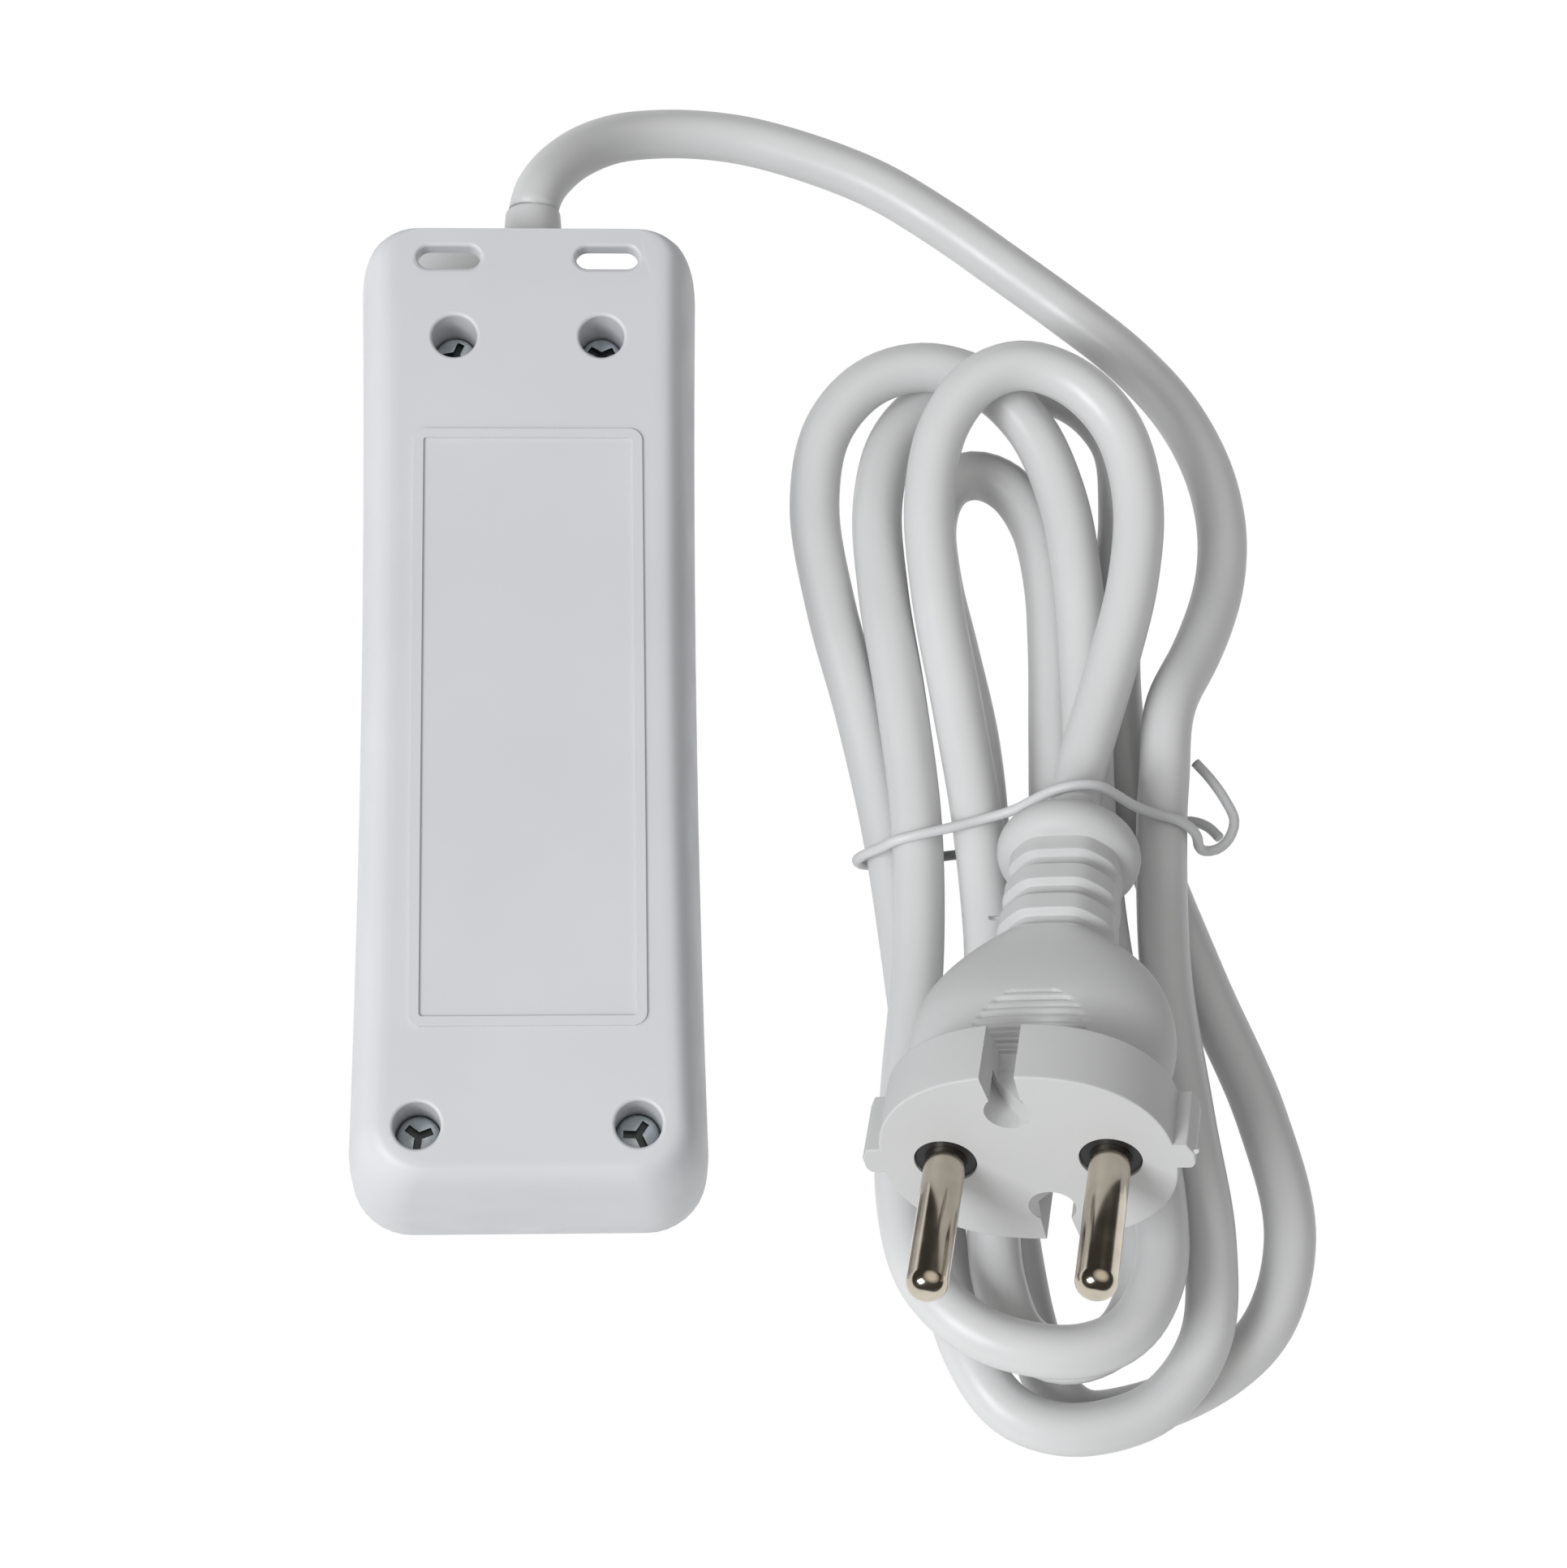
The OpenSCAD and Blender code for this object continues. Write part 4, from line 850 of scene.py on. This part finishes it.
def plug_ring(s):
    points = []
    neck_a = NECK_HALF_W - 0.5 * soft_step(s, 31, NECK_END)
    grip_a = math.sqrt(max(GRIP_R ** 2 - (s - GRIP_MIDDLE) ** 2, 0.01))
    b = between_rows(GRIP_HEIGHTS, s)
    for c, w in full_turn(PLUG_SIDES):
        if s > NECK_END:
            r = between_rows(FLANGE, s)
        else:
            r = neck_reach(c, w, neck_a, NECK_HALF_H) if s > 22 else 0
            if s < 31.2:
                r = max(r, oval_reach(c, w, grip_a, b, 2.6))
            r -= groove_dip(s, abs(r * w))
        points.append(Vector((r * c, r * w, -s)))
    return points


def plug_stations():
    """Distances from the face: close together where the ribs and grooves are."""
    stations, s = [], GRIP_START
    while s < NECK_END:
        stations.append(s)
        s += 0.16 if 8.6 < s < 20.5 or s > 29 else 0.4
    return stations + [row[0] for row in FLANGE]


def cut_finger_ribs(grip):
    """Sinks shallow grooves into the top and the underside of the grip, with ribs left between them."""
    tree, start, end = new_geometry_tree("finger_ribs", Pitch=1.05 * MM, First=8.8 * MM, Last=19.0 * MM,
                                         Half_width=6.95 * MM, Taper_start=12.0 * MM, Taper_length=6.95 * MM,
                                         Depth=0.42 * MM, Finish="NodeSocketMaterial")
    flat_half_h, edge_blend = 5.0 * MM, 0.5 * MM
    link = tree.links.new
    place = tree.nodes.new("ShaderNodeSeparateXYZ")
    link(tree.nodes.new("GeometryNodeInputPosition").outputs[0], place.inputs[0])
    x, y, s = place.outputs["X"], place.outputs["Y"], math_node(tree, "MULTIPLY", place.outputs["Z"], -1.0)
    from_first = math_node(tree, "SUBTRACT", s, start.outputs["First"])
    turns = math_node(tree, "DIVIDE", from_first, start.outputs["Pitch"])
    wave = math_node(tree, "COSINE", math_node(tree, "MULTIPLY", turns, 2 * math.pi))
    groove = math_node(tree, "MULTIPLY_ADD", wave, 1.1, 0.25, clamp=True)
    along = math_node(tree, "MULTIPLY", math_node(tree, "GREATER_THAN", s, start.outputs["First"]),
                      math_node(tree, "LESS_THAN", s, start.outputs["Last"]))
    past = math_node(tree, "DIVIDE", math_node(tree, "SUBTRACT", s, start.outputs["Taper start"]),
                     start.outputs["Taper length"])
    past_squared = math_node(tree, "POWER", math_node(tree, "MAXIMUM", past, 0.0), 2.0)
    narrowing = math_node(tree, "SQRT", math_node(tree, "SUBTRACT", 1.0, past_squared, clamp=True))
    edge = math_node(tree, "SUBTRACT", math_node(tree, "MULTIPLY", start.outputs["Half width"], narrowing),
                     math_node(tree, "ABSOLUTE", x))
    across = math_node(tree, "MULTIPLY", edge, 1 / edge_blend, clamp=True)
    on_face = math_node(tree, "GREATER_THAN", math_node(tree, "ABSOLUTE", y), flat_half_h)
    depth = start.outputs["Depth"]
    for share in (groove, along, across, on_face):
        depth = math_node(tree, "MULTIPLY", depth, share)
    inwards = math_node(tree, "MULTIPLY", math_node(tree, "SIGN", y), -1.0)
    shift = tree.nodes.new("ShaderNodeCombineXYZ")
    link(math_node(tree, "MULTIPLY", depth, inwards), shift.inputs["Y"])
    move = tree.nodes.new("GeometryNodeSetPosition")
    link(start.outputs["Geometry"], move.inputs["Geometry"])
    link(shift.outputs[0], move.inputs["Offset"])
    end_tree(tree, start, end, move.outputs["Geometry"])
    return run_tree(grip, tree, Finish=PLUG)


def face_outline(inset=0.0, count=128):
    points = []
    for c, s in full_turn(count):
        r = oval_reach(c, s, FACE_HALF_W - inset, FACE_HALF_H - inset, FACE_POWER)
        points.append((r * c, r * s))
    return points


def make_ear(side):
    """A guide ear at a side of the rim."""
    outline = [(12, -1.8), (18.5, -1.8), (19.0, -1.1), (19.1, 0.6), (18.4, 2.2), (12, 2.2)]
    return round_edges(prism("ear", [(side * x, y) for x, y in outline], -RIM_DEPTH, 0), 0.2)


def key_notch(middle, turn):
    """A notch through the rim with a round pocket, whose floor slopes up to the face on one side."""
    ring = circle_points(NOTCH_POCKET_R, 0, (middle, NOTCH_POCKET_Y))
    floor = [Vector((p.x, p.y, -max(0.02, (middle + 2.0 - p.x) * NOTCH_SLOPE))) for p in ring]
    pocket = skin("pocket", [floor, [Vector((p.x, p.y, 1)) for p in ring]])
    sides = [(middle - 1.65, 8.6), (middle + 1.75, 8.6), (middle + 1.5, 20), (middle - 3.1, 20)]
    spin = Matrix.Rotation(math.radians(turn), 4, "Z")
    return moved(pocket, spin), moved(prism("notch", sides, -RIM_DEPTH - 1, 1), spin)


def make_rim():
    """The plug's face and rim, with its ears, its key notches and the seats of the pins' rings."""
    edge = 0.3
    front = [(edge, 0), (edge * 0.3, -edge * 0.3), (0, -edge)]
    rings = front + [(inset, -RIM_DEPTH - z) for inset, z in reversed(front)]
    rim = skin("rim", [[Vector((x, y, z)) for x, y in face_outline(inset)] for inset, z in rings])
    for side in (-1, 1):
        join(rim, make_ear(side))
    for middle, turn in NOTCHES:
        cut(rim, *key_notch(middle, turn))
    for x in PIN_XS:
        cut(rim, drum("ring_seat", BASE_RING_R + RING_GAP, -RIM_DEPTH - 1, 1, (x, 0), 64))
    return round_edges(rim, 0.16, 42)


def plug_cavity():
    """Room for the pieces inside the plug, as one closed form."""
    room = block("cavity", CARRIER_HALF_W + CARRIER_GAP, CARRIER_HALF_H + CARRIER_GAP,
                 CARRIER_BACK - CARRIER_GAP, CARRIER_FRONT + CARRIER_GAP)
    for x in PIN_XS:
        join(room, drum("crimp_room", 2.5, -18.5, -3.5, (x, 0)))
        join(room, drum("ring_room", BASE_RING_R + RING_GAP, -4, -0.5, (x, 0), 64))
    return room


def make_flash(places):
    """A small sliver of moulding flash through a few points, thick at its start."""
    line = [Vector(p) for p in places]
    steps = len(line) - 1
    return skin("flash", [[p + Vector((0, 0.42 * math.cos(a), 0.42 * math.sin(a))) * (1 - 0.5 * i / steps)
                           for a in (math.pi / 3 * k for k in range(6))] for i, p in enumerate(line)])


def make_plug():
    grip = cut_finger_ribs(skin("plug_moulding", [plug_ring(s) for s in plug_stations()]))
    join(grip, make_rim())
    cut(grip, plug_cavity())
    join(grip, make_flash([(18.4, 0.5, -0.6), (18.9, 0.6, -0.5), (19.4, 0.8, -0.35), (19.6, 1.0, -0.3)]),
         make_flash([(-6.2, 1.0, -36.2), (-7.3, 1.3, -36.1), (-7.9, 1.8, -35.7), (-8.1, 2.5, -35.2)]))
    return moved(even_normals(grip, 42), PLUG_MATRIX)


def make_carrier():
    """The black carrier behind the face, with a ring round each pin."""
    carrier = block("plug_carrier", CARRIER_HALF_W, CARRIER_HALF_H, CARRIER_BACK, CARRIER_FRONT)
    ring = [(BASE_RING_R, -4.5), (BASE_RING_R, -RING_SINK - 0.2), (BASE_RING_R - 0.15, -RING_SINK),
            (1, -RING_SINK)]
    for x in PIN_XS:
        join(carrier, lathe("ring", ring, (x, 0), 64))
        cut(carrier, drum("pin_room", PIN_R + 0.03, -9, 1, (x, 0), 64))
    return moved(even_normals(carrier, 50), PLUG_MATRIX)


def make_pin(name, x):
    """A pin with a rounded tip."""
    profile = [(PIN_R, PIN_ROOT), (PIN_R, PIN_LENGTH - PIN_TIP)]
    profile += [(PIN_R - PIN_TIP + PIN_TIP * math.cos(t), PIN_LENGTH - PIN_TIP + PIN_TIP * math.sin(t))
                for t in arc(8)[1:]]
    pin = lathe(name, profile, (x, 0), 64)
    return moved(even_normals(pin, 50), PLUG_MATRIX)


plug_pieces = [
    finish_piece(make_plug(), PLUG, "plug", "plug_body"),
    finish_piece(make_carrier(), CARRIER, "bridge", "plug_bridge"),
    finish_piece(make_pin("pin_left", PIN_XS[0]), NICKEL, "nickel", "plug_pin_left"),
    finish_piece(make_pin("pin_right", PIN_XS[1]), NICKEL, "nickel", "plug_pin_right"),
]


# ---------------------------------------------------------------- CAD pieces that keep their shape

for name, material in {
    "bus_bar_live": BRASS, "bus_bar_neutral": BRASS, "cord_clamp": HOUSING, "clamp_screws": ZINC,
    "cord_tail": JACKET, "core_live": BROWN, "core_neutral": BLUE, "core_lugs": BRASS,
    "plug_crimps": BRASS, "plug_cores": BROWN, "plug_cord_end": JACKET,
}.items():
    for slot in nodes[name].material_slots:
        slot.link = "OBJECT"
        slot.material = material


# ---------------------------------------------------------------- floor, lamp and world

def make_floor():
    """A pale floor that shows plain white, apart from its own shade under the slot on the lamp's side.

    The shade shows only to a camera that looks down from the front, as nothing hides it from elsewhere.
    """
    half_size = 3.0 / MM
    shade_place = (("X", -10.7, 6.0), ("Y", 66.0, 7.2))  # axis, middle, half width
    front, near_front = (0.03, -0.41, 0.91), 0.98
    corners = [(x * half_size, y * half_size, 0) for x, y in ((-1, -1), (1, -1), (1, 1), (-1, 1))]
    floor = link_mesh("floor", corners, [(0, 1, 2, 3)])
    mat = bpy.data.materials.new("floor")
    mat.use_nodes = True
    tree = mat.node_tree
    tree.nodes.clear()
    link = tree.links.new
    path = tree.nodes.new("ShaderNodeLightPath").outputs
    place = tree.nodes.new("ShaderNodeSeparateXYZ")
    link(tree.nodes.new("ShaderNodeTexCoord").outputs["Object"], place.inputs[0])
    white, plain = tree.nodes.new("ShaderNodeEmission"), tree.nodes.new("ShaderNodeBsdfDiffuse")
    plain.inputs["Color"].default_value = (0.62, 0.62, 0.62, 1)
    mix, out = tree.nodes.new("ShaderNodeMixShader"), tree.nodes.new("ShaderNodeOutputMaterial")
    towards = tree.nodes.new("ShaderNodeNewGeometry").outputs["Incoming"]
    away = math_node(tree, "LESS_THAN", how_far_along(tree, towards, front), near_front)
    for axis, middle, half in shade_place:
        off = math_node(tree, "ABSOLUTE", math_node(tree, "SUBTRACT", place.outputs[axis], middle * MM))
        away = math_node(tree, "MAXIMUM", away, math_node(tree, "GREATER_THAN", off, half * MM))
    seen = math_node(tree, "MULTIPLY", path["Is Camera Ray"], away)
    seen = math_node(tree, "MAXIMUM", seen, path["Is Glossy Ray"])
    link(math_node(tree, "MAXIMUM", seen, path["Is Transmission Ray"]), mix.inputs["Fac"])
    link(plain.outputs[0], mix.inputs[1])
    link(white.outputs[0], mix.inputs[2])
    link(mix.outputs[0], out.inputs["Surface"])
    floor.data.materials.append(mat)


def make_lamp(name, place, aim, size, power, colour):
    data = bpy.data.lights.new(name, "AREA")
    data.energy, data.size, data.color = power, size, colour
    lamp = bpy.data.objects.new(name, data)
    bpy.context.scene.collection.objects.link(lamp)
    lamp.location = place
    lamp.rotation_euler = (Vector(aim) - Vector(place)).to_track_quat("-Z", "Y").to_euler()


def make_world():
    """A room brighter on the lamp's side, which shows darker and warmer in what is polished."""
    world = bpy.data.worlds.new("world")
    bpy.context.scene.world = world
    world.use_nodes = True
    tree = world.node_tree
    way = tree.nodes.new("ShaderNodeTexCoord").outputs["Generated"]
    sky, room = tree.nodes["Background"], tree.nodes.new("ShaderNodeBackground")
    sky.inputs["Color"].default_value, room.inputs["Color"].default_value = (1, 1, 1, 1), (1, 0.93, 0.84, 1)
    for background, side, start, end, low, high in ((sky, (-0.6, -0.5, 0.6), -1, 1, 0.06, 0.72),
                                                    (room, (0.3, 0.2, 0.9), 0.7, 0.95, 0.05, 0.9)):
        strength = map_range(tree, how_far_along(tree, way, Vector(side).normalized()), start, end, low, high)
        tree.links.new(strength, background.inputs["Strength"])
    mix = tree.nodes.new("ShaderNodeMixShader")
    tree.links.new(tree.nodes.new("ShaderNodeLightPath").outputs["Is Glossy Ray"], mix.inputs["Fac"])
    tree.links.new(sky.outputs[0], mix.inputs[1])
    tree.links.new(room.outputs[0], mix.inputs[2])
    tree.links.new(mix.outputs[0], tree.nodes["World Output"].inputs["Surface"])


make_floor()
make_lamp("key", place=(-0.78, -0.5, 0.98), aim=(0.02, 0, 0), size=0.55, power=11.6,
          colour=(0.97, 0.985, 1.0))
make_world()
bpy.context.scene.view_settings.view_transform = "Standard"
